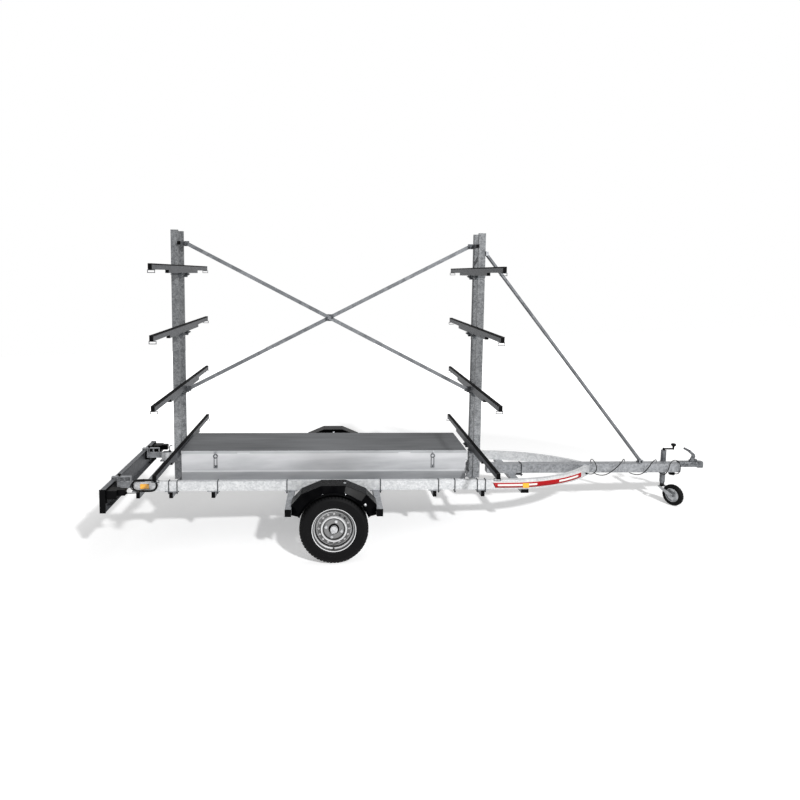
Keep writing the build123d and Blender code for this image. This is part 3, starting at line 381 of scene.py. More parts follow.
# Painted light and shade by height: the masts' zinc is drawn paler near the foot and darker above the box
MAST_PAINTED_SHADE = (600, 1400, [(0.0, "#f4f4f4"), (0.3, "#ececec"), (0.9, "#bcbcbc"), (1.0, "#bcbcbc")])
mast_zinc = galvanised("mast_zinc", "#6c6e71", "#a2a4a6", 11, 0.5, 0.5, MAST_PAINTED_SHADE)
# Drawn tube of the braces and the stay: smooth, one even grey with a long soft highlight
tube_zinc = galvanised("drawn_tube_zinc", "#5b5d60", "#747679", 40, 0.42, 0.6)
# Jack's tube, leg and clamp: smoother and darker than the drawbar they hang on
jack_zinc = galvanised("jack_zinc", "#55575a", "#7a7c7f", 20, 0.36, 0.6)
# Lighting board: dull grey, so that the lamps stand out from it
board_zinc = galvanised("board_zinc", "#505255", "#6e7073", 18, 0.5, 0.5)
# Electroplated fittings: smooth, with sharper highlights than the frame
bright_zinc = galvanised("electroplated_zinc", "#85878a", "#b2b4b6", 30, 0.3, 0.8)
# Wheel bolts and dust caps: the brightest metal, with small sharp glints
hub_zinc = galvanised("fresh_plated_zinc", "#aeafb1", "#cfd0d2", 20, 0.24, 0.5)
# The U-bolts, their plates and the bolt heads have dulled to a dark grey
dull_bolt_zinc = galvanised("dulled_bolt_zinc", "#2f3134", "#54575a", 12, 0.42, 0.6)
# The coupling and the box's latches: dark, with paler crystals that glint on their round faces
coupling_zinc = galvanised("coupling_zinc", "#3a3c3f", "#7c7e81", 12, 0.3, 0.75)
# End caps, glands, plugs, lamp housings and knobs: matt black, nearly without a highlight
plastic = moulded("moulded_black_plastic", "#030304", 0.42, 0.05)
# Mudguards: the blackest and smoothest, with narrow soft glints along their folds
guard_plastic = moulded("mudguard_plastic", "#010102", 0.26, 0.02, 2.0, 0.03)
# The castor's socket: black paint, shinier than the plastics
black_enamel = moulded("black_enamel", "#060607", 0.3, 0.2, 8.0, 0.02)
# Pads on the crossbars: dull rubber that hardly lights up along its ribs
pad_rubber = moulded("pad_rubber", "#030304", 0.6, 0.03, 1.5, 0.1)
# Tyres: rubber a little greyer than the pads, rough enough to blur every reflection
tyre_rubber = moulded("tyre_rubber", "#060607", 0.62, 0.1, 1.6, 0.08)
# Cables: soft sheath with a satin line of light along each turn
cable_pvc = moulded("cable_pvc", "#060607", 0.4, 0.15, 3.0, 0.02)


def sheet_zinc(name, dark, light, rough, metallic, low, high, shades):
    """Mill-galvanised sheet: clouds of 420 mm and streaks of 60 mm, both drawn out along X, with painted
    light and shade by height.

    A faint unevenness every 500 mm, 2 mm deep, bends what the sheet mirrors.
    """
    material, tree = begin(name)
    place = add(tree, "TexCoord", out="Object")
    drawn = add(tree, "Mapping", {"Vector": place, "Scale": (0.35, 1, 1)})
    rolled = add(tree, "Mapping", {"Vector": place, "Scale": (0.12, 1, 1)})
    cloud = add(tree, "TexNoise", {"Vector": drawn, "Scale": per_metre(420), "Detail": 3,
                                   "Roughness": 0.5}, "Fac")
    streak = add(tree, "TexNoise", {"Vector": rolled, "Scale": per_metre(60), "Detail": 4,
                                    "Roughness": 0.6}, "Fac")
    mixed = add(tree, "Mix", {"Factor": 0.3, "A": cloud, "B": streak})
    cloudy = add(tree, "ValToRGB", {"Fac": mixed}, stops=[(0.3, dark), (0.7, light)])
    # Painted light and shade by height
    shade = height_shade(tree, place, low, high, shades)
    uneven = add(tree, "TexNoise", {"Vector": place, "Scale": per_metre(500), "Detail": 2,
                                    "Roughness": FINE_SHARE}, "Fac")
    return complete(material, {
        "Base Color": add(tree, "VectorMath", {0: cloudy, 1: shade}, operation="MULTIPLY"),
        "Roughness": add(tree, "MapRange", {"Value": mixed, "To Min": rough + 0.1, "To Max": rough - 0.06}),
        "Normal": add(tree, "Bump", {"Height": uneven, "Strength": 0.35, "Distance": 2.0 / 1000}),
        "Metallic": metallic,
        "Specular IOR Level": LOW_GLINT,
    })


# Painted shade and light: the lid's top is drawn dark, its turned-down flange bright
LID_PAINTED_SHADE = [(0.0, "#ffffff"), (0.44, "#ffffff"), (0.5, "#8a8b8d"), (1.0, "#8a8b8d")]
lid_sheet = sheet_zinc("lid_sheet", "#747678", "#c4c6c8", 0.5, 0.4, 740, 756, LID_PAINTED_SHADE)
# Painted shade and a painted highlight: the tub's wall is drawn darker at its foot, with a bright line
# painted in the place of the pressed crease
TUB_PAINTED_SHADE_AND_HIGHLIGHT = [(0.0, "#c6c7c9"), (0.28, "#cdcecf"), (0.3, "#ffffff"), (0.33, "#ffffff"), (0.36, "#e6e6e7"),
              (1.0, "#f6f6f6")]
tub_sheet = sheet_zinc("tub_sheet", "#a4a6a8", "#e2e2e4", 0.4, 0.5, 490, 740, TUB_PAINTED_SHADE_AND_HIGHLIGHT)


# Painted light and shade over the wheel's radius, as a share of this reach in metres: the dark bands are
# painted shade in the pressed rings, the pale bands painted light on their crests
RING_REACH = 0.19
RING_PAINTED_LIGHT_AND_SHADE = [
    (0.2, "#969696"), (0.4, "#8c8c8c"), (0.42, "#3c3c3c"), (0.455, "#3c3c3c"), (0.475, "#f4f4f4"),
    (0.555, "#f4f4f4"), (0.575, "#4c4c4c"), (0.61, "#686868"), (0.69, "#707070"), (0.71, "#ececec"),
    (0.745, "#ececec"), (0.762, "#363636"), (0.79, "#363636"), (0.805, "#ececec"), (0.83, "#ececec"),
    (0.845, "#363636"), (0.875, "#363636"), (0.89, "#ffffff"), (1.0, "#ffffff"),
]


def wheel_enamel():
    """Silver wheel enamel: aluminium flake under a clear coat, with painted shade and light in bands for the
    pressed rings.

    The flake is drawn 2.5 mm wide, far coarser than it is, so that it shows as a faint sparkle.
    """
    material, tree = begin("silver_wheel_enamel")
    place = add(tree, "TexCoord", out="Object")
    flake = add(tree, "TexVoronoi", {"Vector": place, "Scale": per_metre(2.5)}, "Color")
    tone = add(tree, "SeparateColor", {"Color": flake})
    paint = add(tree, "ValToRGB", {"Fac": tone}, stops=[(0.0, "#c6c7c8"), (1.0, "#dededf")])
    off_hub = add(tree, "VectorMath", {0: place, 1: HUB}, operation="SUBTRACT")
    flat = add(tree, "VectorMath", {0: off_hub, 1: (1, 0, 1)}, operation="MULTIPLY")
    radius = add(tree, "VectorMath", {0: flat}, "Value", operation="LENGTH")
    share = add(tree, "MapRange", {"Value": radius, "From Max": RING_REACH})
    # Painted shade and light in rings round the hub
    rings = add(tree, "ValToRGB", {"Fac": share}, stops=RING_PAINTED_LIGHT_AND_SHADE)
    return complete(material, {
        "Base Color": add(tree, "VectorMath", {0: paint, 1: rings}, operation="MULTIPLY"),
        "Metallic": 0.45,
        "Roughness": 0.34,
        "Coat Weight": 0.4,
        "Coat Roughness": 0.15,
    })


def lens(name, code, prism_mm):
    """Clear coloured acrylic with moulded prisms behind its face, square cells 0.5 mm deep."""
    material, tree = begin(name)
    place = add(tree, "TexCoord", out="Object")
    prism = add(tree, "TexVoronoi", {"Vector": place, "Scale": per_metre(prism_mm)}, "Distance",
                distance="CHEBYCHEV")
    return complete(material, {
        "Base Color": add(tree, "ValToRGB", {"Fac": prism}, stops=[(0.1, code), (0.8, paler(code, 30))]),
        "Normal": add(tree, "Bump", {"Height": prism, "Strength": 0.6, "Distance": 0.5 / 1000}),
        "Roughness": 0.12,
        "Coat Weight": 0.6,
    })


# Where the tape is white along its length: stops of a stepped ramp
TAPE_BARS = [(0.0, "#000000"), (0.03, "#ffffff"), (0.41, "#000000"), (0.66, "#ffffff"), (0.94, "#000000")]
# Half widths, as shares of the tape's height: the white bars inside, the pale edge outside
BAR_REACH = 0.16
EDGE_REACH = 0.42


def retro_tape():
    """Retroreflective tape seen by plain light: satin red with white bars and a pale edge."""
    material, tree = begin("retroreflective_tape")
    place = add(tree, "UVMap", uv_map="surface")
    along = add(tree, "SeparateXYZ", {"Vector": place}, 0)
    across = add(tree, "SeparateXYZ", {"Vector": place}, 1)
    bars = add(tree, "ValToRGB", {"Fac": along}, stops=TAPE_BARS, blend="CONSTANT")
    from_middle = add(tree, "Math", {0: across, 1: 0.5}, operation="SUBTRACT")
    off = add(tree, "Math", {0: from_middle}, operation="ABSOLUTE")
    inside = add(tree, "Math", {0: off, 1: BAR_REACH}, operation="LESS_THAN")
    edge = add(tree, "Math", {0: off, 1: EDGE_REACH}, operation="GREATER_THAN")
    bar = add(tree, "Math", {0: bars, 1: inside}, operation="MULTIPLY")
    white = add(tree, "Math", {0: bar, 1: edge}, operation="MAXIMUM")
    return complete(material, {
        "Base Color": add(tree, "ValToRGB", {"Fac": white}, stops=[(0.4, "#9c0a12"), (0.6, "#dcdbd8")]),
        "Roughness": 0.45,
        "Specular IOR Level": LOW_GLINT,
    })


# Road wheels: satin silver with bands of painted shade and light that stand for the pressed rings
silver = wheel_enamel()
# Tail lamps and side reflectors: deep colour with glossy points from the prisms
red_lens = lens("red_lens", "#8c080b", 6)
amber_lens = lens("amber_lens", "#f2a007", 5)
# Side tape: the one strong red along the rail
tape = retro_tape()

FINISHES = (
    (frame_zinc, "rail_right rail_left"),
    (drawbar_zinc, "drawbar frame_packers crossmembers mudguard_bearers axle_beam axle_arms stay_brackets "
                   "board_arms board_brackets"),
    (mast_zinc, "mast_rear mast_front mast_feet"),
    (bar_zinc, "crossbars_rear crossbars_front bar_struts brace_lugs"),
    (tube_zinc, "front_stay cross_braces"),
    (jack_zinc, "jack_tube jack_clamp jack_leg"),
    (board_zinc, "light_board"),
    (dull_bolt_zinc, "bar_clamps tie_down_loops"),
    (coupling_zinc, "toolbox_latches coupling_head coupling_lever"),
    (bright_zinc, "toolbox_hinges jockey_rim jockey_fork"),
    (hub_zinc, "hub_right hub_left"),
    (tub_sheet, "toolbox_tub"),
    (lid_sheet, "toolbox_lid"),
    (silver, "rim_right rim_left"),
    (tyre_rubber, "tyre_right tyre_left jockey_tyre"),
    (guard_plastic, "mudguard_right mudguard_left"),
    (plastic, "tube_end_caps bar_end_caps board_end_caps lamp_housings jack_crank hank_clip top_tube_plugs "
              "lamp_gland cable_glands cable_plug"),
    (pad_rubber, "bar_pads"),
    (red_lens, "lamp_lenses"),
    (black_enamel, "jockey_socket"),
    (cable_pvc, "towing_cable lamp_lead lead_hank"),
)


def dress_nodes():
    """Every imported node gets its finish."""
    finish_of = {name: finish for finish, names in FINISHES for name in names.split()}
    for name, node in nodes.items():
        node.data.materials.clear()
        node.data.materials.append(finish_of[name])


# Fittings


def rail_y(x, inset=0.0):
    """Outer face of the right rail at a place along the trailer, or a line inset from it."""
    radius = RAIL_BEND_RADIUS - inset
    ahead = max(0.0, x - RAIL_BEND_X)
    return RAIL_OUTER_Y - RAIL_BEND_RADIUS + sqrt(radius ** 2 - ahead ** 2)


U_BOLT_XS = (-1370.0, -1301.0, -967.0, -392.0, 392.0, 885.0, 1024.0, 1216.0, 1284.0)
# How far their legs reach below the packing plates
LEG_SPARE = 16.0
# The U-bolt over the drawbar: its bridge, the length of its legs, and the plate under it
DRAWBAR_HALF_Y = 40.0
DRAWBAR_BOLT = (1717.0, 0.0, 542.5)
DRAWBAR_BOLT_LEG = 112.0
DRAWBAR_PLATE = ((1656, -58, 444), (1727, 58, 450))


def frame_u_bolts():
    """U-bolts over both rails down through the packing plates, and one over the drawbar with its plate."""
    shapes = []
    top = RAIL_TOP + U_BOLT_OFF
    leg = top - (RAIL_BOTTOM - PACKER - LEG_SPARE)
    for x in U_BOLT_XS:
        for side in SIDES:
            y = side * rail_y(x, RAIL_WIDTH / 2)
            shapes += u_bolt((x, y, top), (0, 1, 0), (0, 0, -1), RAIL_WIDTH / 2 + U_BOLT_OFF, leg)
    shapes += u_bolt(DRAWBAR_BOLT, (0, 1, 0), (0, 0, -1), DRAWBAR_HALF_Y + U_BOLT_OFF, DRAWBAR_BOLT_LEG)
    shapes.append(slab(*DRAWBAR_PLATE))
    piece("frame_u_bolts", joined(shapes), "chassis", dull_bolt_zinc)


# Clamp blocks on the masts: how deep they are, and the plate's thickness, half width and half height
BLOCK_DEPTH = 28.0
BLOCK_BELOW_STACK = 9.0
# Length of the legs round a mast, beyond the mast itself
LEG_BEYOND_MAST = 52.0
PLATE_THICK, PLATE_HALF_Y, PLATE_HALF_Z = 5.0, 28.0, 14.0


def mast_u_bolts():
    """U-bolts round each mast tube, with a plate and two nuts on the far face of each clamp block."""
    shapes = []
    for x, inward in MASTS:
        back = x - inward * (MAST_HALF_X + U_BOLT_OFF)
        face = x + inward * (MAST_HALF_X + BLOCK_DEPTH)
        near, far = sorted((face, face + inward * PLATE_THICK))
        for top in BAR_TOPS:
            z = top - BAR_STACK - BLOCK_BELOW_STACK
            for y in MAST_TUBE_YS:
                shapes += u_bolt((back, y, z), (0, 1, 0), (inward, 0, 0), MAST_TUBE_HALF_Y + U_BOLT_OFF,
                                 2 * MAST_HALF_X + LEG_BEYOND_MAST)
                shapes.append(slab((near, y - PLATE_HALF_Y, z - PLATE_HALF_Z),
                                   (far, y + PLATE_HALF_Y, z + PLATE_HALF_Z)))
    piece("mast_u_bolts", joined(shapes), "chassis", dull_bolt_zinc)


# The braces' ends along X and Z, their lug bolts along X, and the stay's foot bolt
BRACE_END_XS = (-1342.0, 1253.0)
BRACE_END_ZS = (1231.0, 2510.0)
LUG_BOLT_XS = (-1287.0, 1198.0)
STAY_FOOT = (2845.0, 556.0)
CROSSING_BOLT_OFF = 24.0
# Faces that the heads lie on, off the middle plane, and the heads' size across and their height
LUG_FACE_Y, FOOT_FACE_Y = 16.0, 21.3
HEAD_ACROSS, HEAD_HEIGHT = 17.0, 8.0


def crossing_bolts():
    """Bolts through the braces' crossing plate, their end lugs and the stay's foot.

    The rear lower lug has no head on its right, where the open lid's edge passes.
    """
    middle_x, middle_z = sum(BRACE_END_XS) / 2, sum(BRACE_END_ZS) / 2
    spots = [(middle_x + off, middle_z) for off in (-CROSSING_BOLT_OFF, CROSSING_BOLT_OFF)]
    spots += [(x, z) for x in LUG_BOLT_XS for z in BRACE_END_ZS]
    beside_lid = (LUG_BOLT_XS[0], BRACE_END_ZS[0])
    heads = [(x, z, side, LUG_FACE_Y) for x, z in spots for side in SIDES]
    heads.remove((*beside_lid, -1, LUG_FACE_Y))
    heads += [(*STAY_FOOT, side, FOOT_FACE_Y) for side in SIDES]
    shapes = [hex_head((x, side * y, z), (0, side, 0), HEAD_ACROSS, HEAD_HEIGHT) for x, z, side, y in heads]
    piece("brace_bolts", joined(shapes), "chassis", dull_bolt_zinc)


def knob(centre, radius, height):
    """Upright grip knob with six lobes: its rim is radius * (1 + 0.07 cos 6a) at the angle a."""
    profile = [(3, 0), (7, 0), (8, height * 0.35), (radius, height * 0.45), (radius, height * 0.85),
               (radius - 4, height), (0.3, height)]
    corners, faces = lathe(profile, (0, 0, 0), (0, 0, 1), 36)
    angle = np.arctan2(corners[:, 1], corners[:, 0])
    rim = np.hypot(corners[:, 0], corners[:, 1]) > radius * 0.7
    corners[:, :2] *= (1 + 0.07 * np.cos(6 * angle) * rim)[:, None]
    return corners + np.asarray(centre, float), faces


STRAP_TOP = 572.0
ARM_Y = 422.0
# Knobs on the straps: place, radius and height, and their studs' section
KNOB_X, KNOB_RADIUS, KNOB_HEIGHT = -1777.0, 13.0, 20.0
STUD = [(0.3, -44), (4, -44), (4, 2), (0.3, 2)]


def board_knobs():
    """Clamp knobs on the lighting board's straps, with their studs down to the board."""
    grips, studs = [], []
    for side in SIDES:
        y = side * ARM_Y
        grips.append(knob((KNOB_X, y, STRAP_TOP + 1), KNOB_RADIUS, KNOB_HEIGHT))
        studs.append(lathe(STUD, (KNOB_X, y, STRAP_TOP), (0, 0, 1), 16))
        studs.append(hex_head((KNOB_X, y, STRAP_TOP - 5), (0, 0, -1), 15, 6))
    piece("board_knobs", joined(grips), "light_carrier", plastic)
    piece("board_studs", joined(studs), "light_carrier", bright_zinc)


# Arm screws: the plate's ends, half width and thickness, the screw, and its handle as (X, Z) from it
ARM_PLATE_XS = (-1641.0, -1570.0)
ARM_PLATE_HALF_Y, ARM_PLATE_THICK = 17.0, 6.0
ARM_SCREW_X = -1582.0
HANDLE = ((0, 14), (0, 48), (2, 58), (10, 62), (26, 62))
HANDLE_RADIUS = 4.5


def arm_screws():
    """Screws on plates that lock the board's arms in the rails; the left one has a bent rod handle."""
    shapes = []
    plate_top = RAIL_TOP + ARM_PLATE_THICK
    for side in SIDES:
        y = side * ARM_Y
        shapes.append(slab((ARM_PLATE_XS[0], y - ARM_PLATE_HALF_Y, RAIL_TOP),
                           (ARM_PLATE_XS[1], y + ARM_PLATE_HALF_Y, plate_top)))
        shapes.append(hex_head((ARM_SCREW_X, y, plate_top), (0, 0, 1), 20, 10))
    shapes.append(tube([(ARM_SCREW_X + x, ARM_Y, RAIL_TOP + z) for x, z in HANDLE], HANDLE_RADIUS))
    piece("arm_screws", joined(shapes), "chassis", dull_bolt_zinc)


# Each pair of side reflectors: place along X, height and length
REFLECTORS = ((-1567, 491, 72), (1634, 480, 54))
REFLECTOR_THICK, REFLECTOR_HALF_Z = 7.0, 20.0


def side_reflectors():
    """Amber prism reflectors on the rails' outer faces, rear and front."""
    shapes = []
    for x, z, length in REFLECTORS:
        for side in SIDES:
            y = side * (rail_y(x) + (1 if x > RAIL_BEND_X else 0))
            inner, outer = sorted((y, y + side * REFLECTOR_THICK))
            shapes.append(slab((x - length / 2, inner, z - REFLECTOR_HALF_Z),
                               (x + length / 2, outer, z + REFLECTOR_HALF_Z), 2))
    piece("side_reflectors", joined(shapes), "chassis", amber_lens)


TAPE_START = 1362.0
TAPE_END = 2285.0
TAPE_LOW = 459.0
TAPE_HIGH = 511.0
# How far its rear end is cut aslant at the bottom and the top, and its steps along the rail
TAPE_SLANT = (18.0, -17.0)
TAPE_STEPS = 90
TAPE_THICK = 0.5


def conspicuity_tape():
    """Red and white tape on the rails' outer faces, as a strip two points high.

    By the length s run along the rail it is straight up to the bend; from there on it is an arc about
    the bend's centre, x = bend + r sin(s / R), y = centre + r cos(s / R).
    """
    length = TAPE_END - TAPE_START
    s = np.linspace(0, length, TAPE_STEPS)
    straight = RAIL_BEND_X - TAPE_START
    turn = np.clip(s - straight, 0, None) / RAIL_BEND_RADIUS
    reach = RAIL_BEND_RADIUS + TAPE_THICK + 0.1
    x = np.where(s < straight, TAPE_START + s, RAIL_BEND_X + reach * np.sin(turn))
    y = RAIL_OUTER_Y - RAIL_BEND_RADIUS + reach * np.cos(turn)
    points = np.zeros((TAPE_STEPS, 2, 3))
    points[..., 0] = x[:, None] + np.array(TAPE_SLANT) * (s[:, None] < 1)
    points[..., 2] = (TAPE_LOW, TAPE_HIGH)
    uv = np.zeros((TAPE_STEPS, 2, 2))
    uv[..., 0] = s[:, None] / length
    uv[..., 1] = (0.0, 1.0)
    for side, name in NAMED_SIDES:
        points[..., 1] = side * y[:, None]
        outward = points if side < 0 else points[:, ::-1]
        strip = piece(f"marking_tape_{name}", surface(outward), "chassis", tape, uv=uv)
        thick = strip.modifiers.new("thickness", "SOLIDIFY")
        thick.thickness = TAPE_THICK / 1000
        thick.offset = -1


# Road wheels: their middle planes off the centre line, and their axle above the road
WHEEL_Y = 779.5
AXLE_Z = 272.0
# Half sections of the tyres as (radius, offset), and the offsets of the road tyre's tread
ROAD_TYRE = [
    (165.2, 60), (169, 64), (183, 72.5), (186, 73.5), (190, 72.5), (206, 76.4), (222, 77.4),
    (236, 76), (239, 76.6), (242, 74.8), (254, 69), (263, 62), (268.5, 55.5), (270.6, 50),
]
ROAD_TREAD = [44, 42, 41, 34, 33, 24, 22, 20, 14, 12, 4, 2, -2, -4]


# Tread: where the grooves may lie as shares of its half width, the shoulder cuts' slant in radians per mm,
# the sine above which they are cut, and how deep below the crown they reach
GROOVES_TO, SHOULDER_FROM = 0.85, 0.62
CUT_SLANT, CUT_ABOVE = 0.055, 0.62
SHOULDER_DROP = 14.0


def tyre(name, node, body, centre, axis, sidewall, tread, crown, radius, lugs, depth):
    """Tyre as a grid: a point is centre + r(t, h) * (up cos t + forward sin t) + h * axis.

    r is the section's radius at the offset h, less the depth of the grooves. Straight grooves run round at
    2, 6 and 10 twelfths of the tread's half width, and slanted cuts cross the shoulders wherever
    sin(lugs * t + 0.055 * |h|) is above 0.62.
    """
    offsets = np.array(tread, float)
    half_width = sidewall[-1][1]
    crowned = np.stack([radius - crown * (offsets / half_width) ** 2, offsets], -1)
    upper = np.concatenate([np.array(sidewall, float), crowned[offsets > 0]])
    profile = np.concatenate([upper, (upper * (1, -1))[::-1]])
    turn = np.linspace(0, 2 * pi, lugs * 8, endpoint=False)
    r = np.repeat(profile[None, :, 0], len(turn), 0)
    h = profile[:, 1]
    off = np.abs(h)
    groove = (np.round(off / half_width * 12).astype(int) % 4 == 2) & (off < half_width * GROOVES_TO)
    r = r - depth * (groove[None] & (r > radius - crown - 2.5))
    cut = np.sin(lugs * turn[:, None] + CUT_SLANT * off[None]) > CUT_ABOVE
    shoulder = (off > half_width * SHOULDER_FROM)[None] & (r > radius - SHOULDER_DROP)
    r = r - depth * 0.8 * (cut & shoulder)
    axis = np.asarray(axis, float) / np.linalg.norm(axis)
    upright = np.array([0.0, 0.0, 1.0])
    forward = np.cross(axis, upright)
    ring = np.cos(turn)[:, None, None] * upright + np.sin(turn)[:, None, None] * forward
    points = np.asarray(centre, float) + r[..., None] * ring + h[None, :, None] * axis
    thing = piece(name, surface(points, True, True), body, tyre_rubber, angle=0.5)
    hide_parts(node)


# Jockey wheel: it trails behind the jack's upright axis, with its castor turned aside by 60 degrees
JACK_X, JACK_Y = 3107.0, 78.0
JOCKEY_TRAIL = 112.0
JOCKEY_Z = 235.0
ASIDE = pi / 3
JOCKEY_CENTRE = (JACK_X + JOCKEY_TRAIL * cos(ASIDE), JACK_Y - JOCKEY_TRAIL * sin(ASIDE), JOCKEY_Z)
JOCKEY_AXIS = (sin(ASIDE), cos(ASIDE), 0.0)
JOCKEY_TYRE = [(62.2, 18.5), (66, 21), (72, 23.6), (80, 24.6), (86, 23.6), (91, 20), (94.5, 16)]
JOCKEY_TREAD = [12, 10, 6, 4, 1]


def build_tyres():
    """Both road tyres and the jockey wheel's tyre."""
    for side, name in NAMED_SIDES:
        tyre(f"tread_tyre_{name}", f"tyre_{name}", f"wheel_{name}", (0, side * WHEEL_Y, AXLE_Z), (0, side, 0),
             ROAD_TYRE, ROAD_TREAD, 1.4, 272.0, 60, 6.0)
    tyre("jockey_solid_tyre", "jockey_tyre", "jockey_wheel", JOCKEY_CENTRE, JOCKEY_AXIS,
         JOCKEY_TYRE, JOCKEY_TREAD, 2.0, 97.0, 24, 2.0)


# Turned sections as (radius, height), for the ring round each dust cap and the tyre valves; how far out
# from the wheel's middle they sit, and how far below it the valve is
HUB_RING = [(30.4, 0.2), (42, 0.2), (42, 3.5), (39, 5.5), (33, 5.5), (30.4, 4)]
VALVE = [(0.3, 0), (5.5, 0), (5.5, 14), (4, 16), (4, 34), (0.3, 34)]
RING_OUT, VALVE_OUT, VALVE_BELOW = 34.0, 42.0, 152.0


def wheel_details():
    """Black ring round each dust cap, and the tyre valves."""
    for side, name in NAMED_SIDES:
        ring = lathe(HUB_RING, (0, side * (WHEEL_Y + RING_OUT), AXLE_Z), (0, side, 0), 48)
        piece(f"hub_ring_{name}", ring, f"wheel_{name}", plastic)
        foot = (0, side * (WHEEL_Y + VALVE_OUT), AXLE_Z - VALVE_BELOW)
        valve = lathe(VALVE, foot, (0, side, 0.25), 16)
        piece(f"tyre_valve_{name}", valve, f"wheel_{name}", plastic)


PAD_WIDTH = 28.0
PAD_DEPTH = 10.0
PAD_HALF_LENGTH = 990.0
PAD_RIBS = 5


def ribbed_pads():
    """Rubber strips on the crossbars: one section carried along Y.

    Over the share u of its width the section is 8.2 + 1.8 * |sin(5 pi u)| ** 0.7 high: five round ribs.
    """
    across = np.linspace(0, 1, 41)
    ribs = 8.2 + 1.8 * np.abs(np.sin(PAD_RIBS * pi * across)) ** 0.7
    section = np.concatenate([[(0, 0)], np.stack([across * PAD_WIDTH, ribs], -1), [(PAD_WIDTH, 0)]])
    shapes = []
    for x, inward in MASTS:
        near = min(x + inward * MAST_HALF_X, x + inward * (MAST_HALF_X + PAD_WIDTH))
        for top in BAR_TOPS:
            rings = np.zeros((2, len(section), 3))
            rings[..., 0] = near + section[:, 0]
            rings[..., 2] = top - PAD_DEPTH + section[:, 1]
            rings[0, :, 1], rings[1, :, 1] = -PAD_HALF_LENGTH, PAD_HALF_LENGTH
            shapes.append(capped(rings))
    pads = piece("ribbed_bar_pads", joined(shapes), "chassis", pad_rubber, angle=0.9)
    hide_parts("bar_pads")


# Routes of the cords' centre lines on the level frame, metres
LAMP_LEAD = [
    (-1.645, -0.643, 0.507), (-1.608, -0.643, 0.507), (-1.579, -0.624, 0.501),
    (-1.568, -0.59, 0.495), (-1.582, -0.556, 0.491), (-1.612, -0.54, 0.491),
    (-1.644, -0.53, 0.496), (-1.662, -0.504, 0.503), (-1.668, -0.48, 0.517),
]
HANK_END = [(-1.6662, -0.456, 0.488), (-1.6664, -0.448, 0.5)]
TOWING_CABLE = [
    (2.300055, -0.117183, 0.474), (2.325909, -0.142234, 0.474), (2.36, -0.152, 0.498),
    (2.378, -0.136, 0.528), (2.384, -0.102, 0.552), (2.388, -0.058, 0.566),
    (2.392, -0.01, 0.572), (2.396, 0.036, 0.562), (2.401, 0.062, 0.534),
    (2.41, 0.062, 0.464), (2.42, 0.036, 0.435), (2.44, -0.014, 0.428),
    (2.478, -0.05, 0.434), (2.522, -0.063, 0.455), (2.572, -0.063, 0.492),
    (2.62, -0.061, 0.534), (2.652, -0.04, 0.56), (2.684, -0.002, 0.57),
    (2.712, 0.038, 0.56), (2.728, 0.062, 0.532), (2.74, 0.062, 0.464),
    (2.756, 0.036, 0.435), (2.786, -0.014, 0.429), (2.824, -0.052, 0.44),
    (2.862, -0.062, 0.47), (2.898, -0.062, 0.51), (2.926, -0.05, 0.546),
    (2.958, -0.022, 0.559), (3.000, 0.016, 0.56), (3.024, 0.049, 0.548),
    (3.036, 0.063, 0.512), (3.04, 0.062, 0.464), (3.046, 0.037, 0.435),
    (3.052, -0.008, 0.43), (3.062, -0.046, 0.438), (3.074, -0.064, 0.473),
    (3.088, -0.063, 0.512), (3.099, -0.06, 0.549), (3.126, -0.054, 0.576),
    (3.164, -0.052, 0.576), (3.191, -0.056, 0.549), (3.196, -0.061, 0.51),
    (3.193, -0.058, 0.47), (3.187, -0.038, 0.439), (3.183, 0.002, 0.43),
]
# Each cord's length and diameter, metres
LEAD_LENGTH, LEAD_DIAMETER = 2.78, 0.007
CABLE_LENGTH, CABLE_DIAMETER = 1.99, 0.0075
# Section of the seven-pin plug from the cable's entry to its rim, mm: a ribbed grip round a hollow end
PLUG_SHELL = [
    (0.3, 0), (5, 0), (6.5, 3), (8, 14), (12, 16), (15.5, 20), (17, 26), (17, 34), (16, 35), (16, 38),
    (17, 39), (17, 47), (16, 48), (16, 51), (17, 52), (17, 72), (15.5, 76), (12, 76), (12, 70), (0.3, 70),
]

# The hank's long oval, mm: its middle, half its straight runs and the arcs of its ends, with the angles of
# their points at the rear above, at the front and at the rear below, and the points along the runs
HANK_X, HANK_Z = -1562.0, 504.5
HANK_HALF_RUN, HANK_ARC = 55.5, 50.5
REAR_ABOVE, FRONT_DOWN, REAR_BELOW = (180, 140, 108), (72, 38, 2, -36, -72), (252, 218)
RUN_ABOVE, RUN_BELOW = ((-18, 0.4), (24, -0.5)), ((20, -0.3), (-22, 0.4))
# Each turn's place across the hank, and how much larger or smaller its arcs are
HANK_TURNS = ((-466.2, 0.0), (-461.8, -1.0), (-466.0, -7.4), (-459.3, -7.6), (-457.8, 0.2))
# How unevenly a hand winds it, along X, Y and Z
HAND_WOUND = (0.5, 0.25, 0.5)


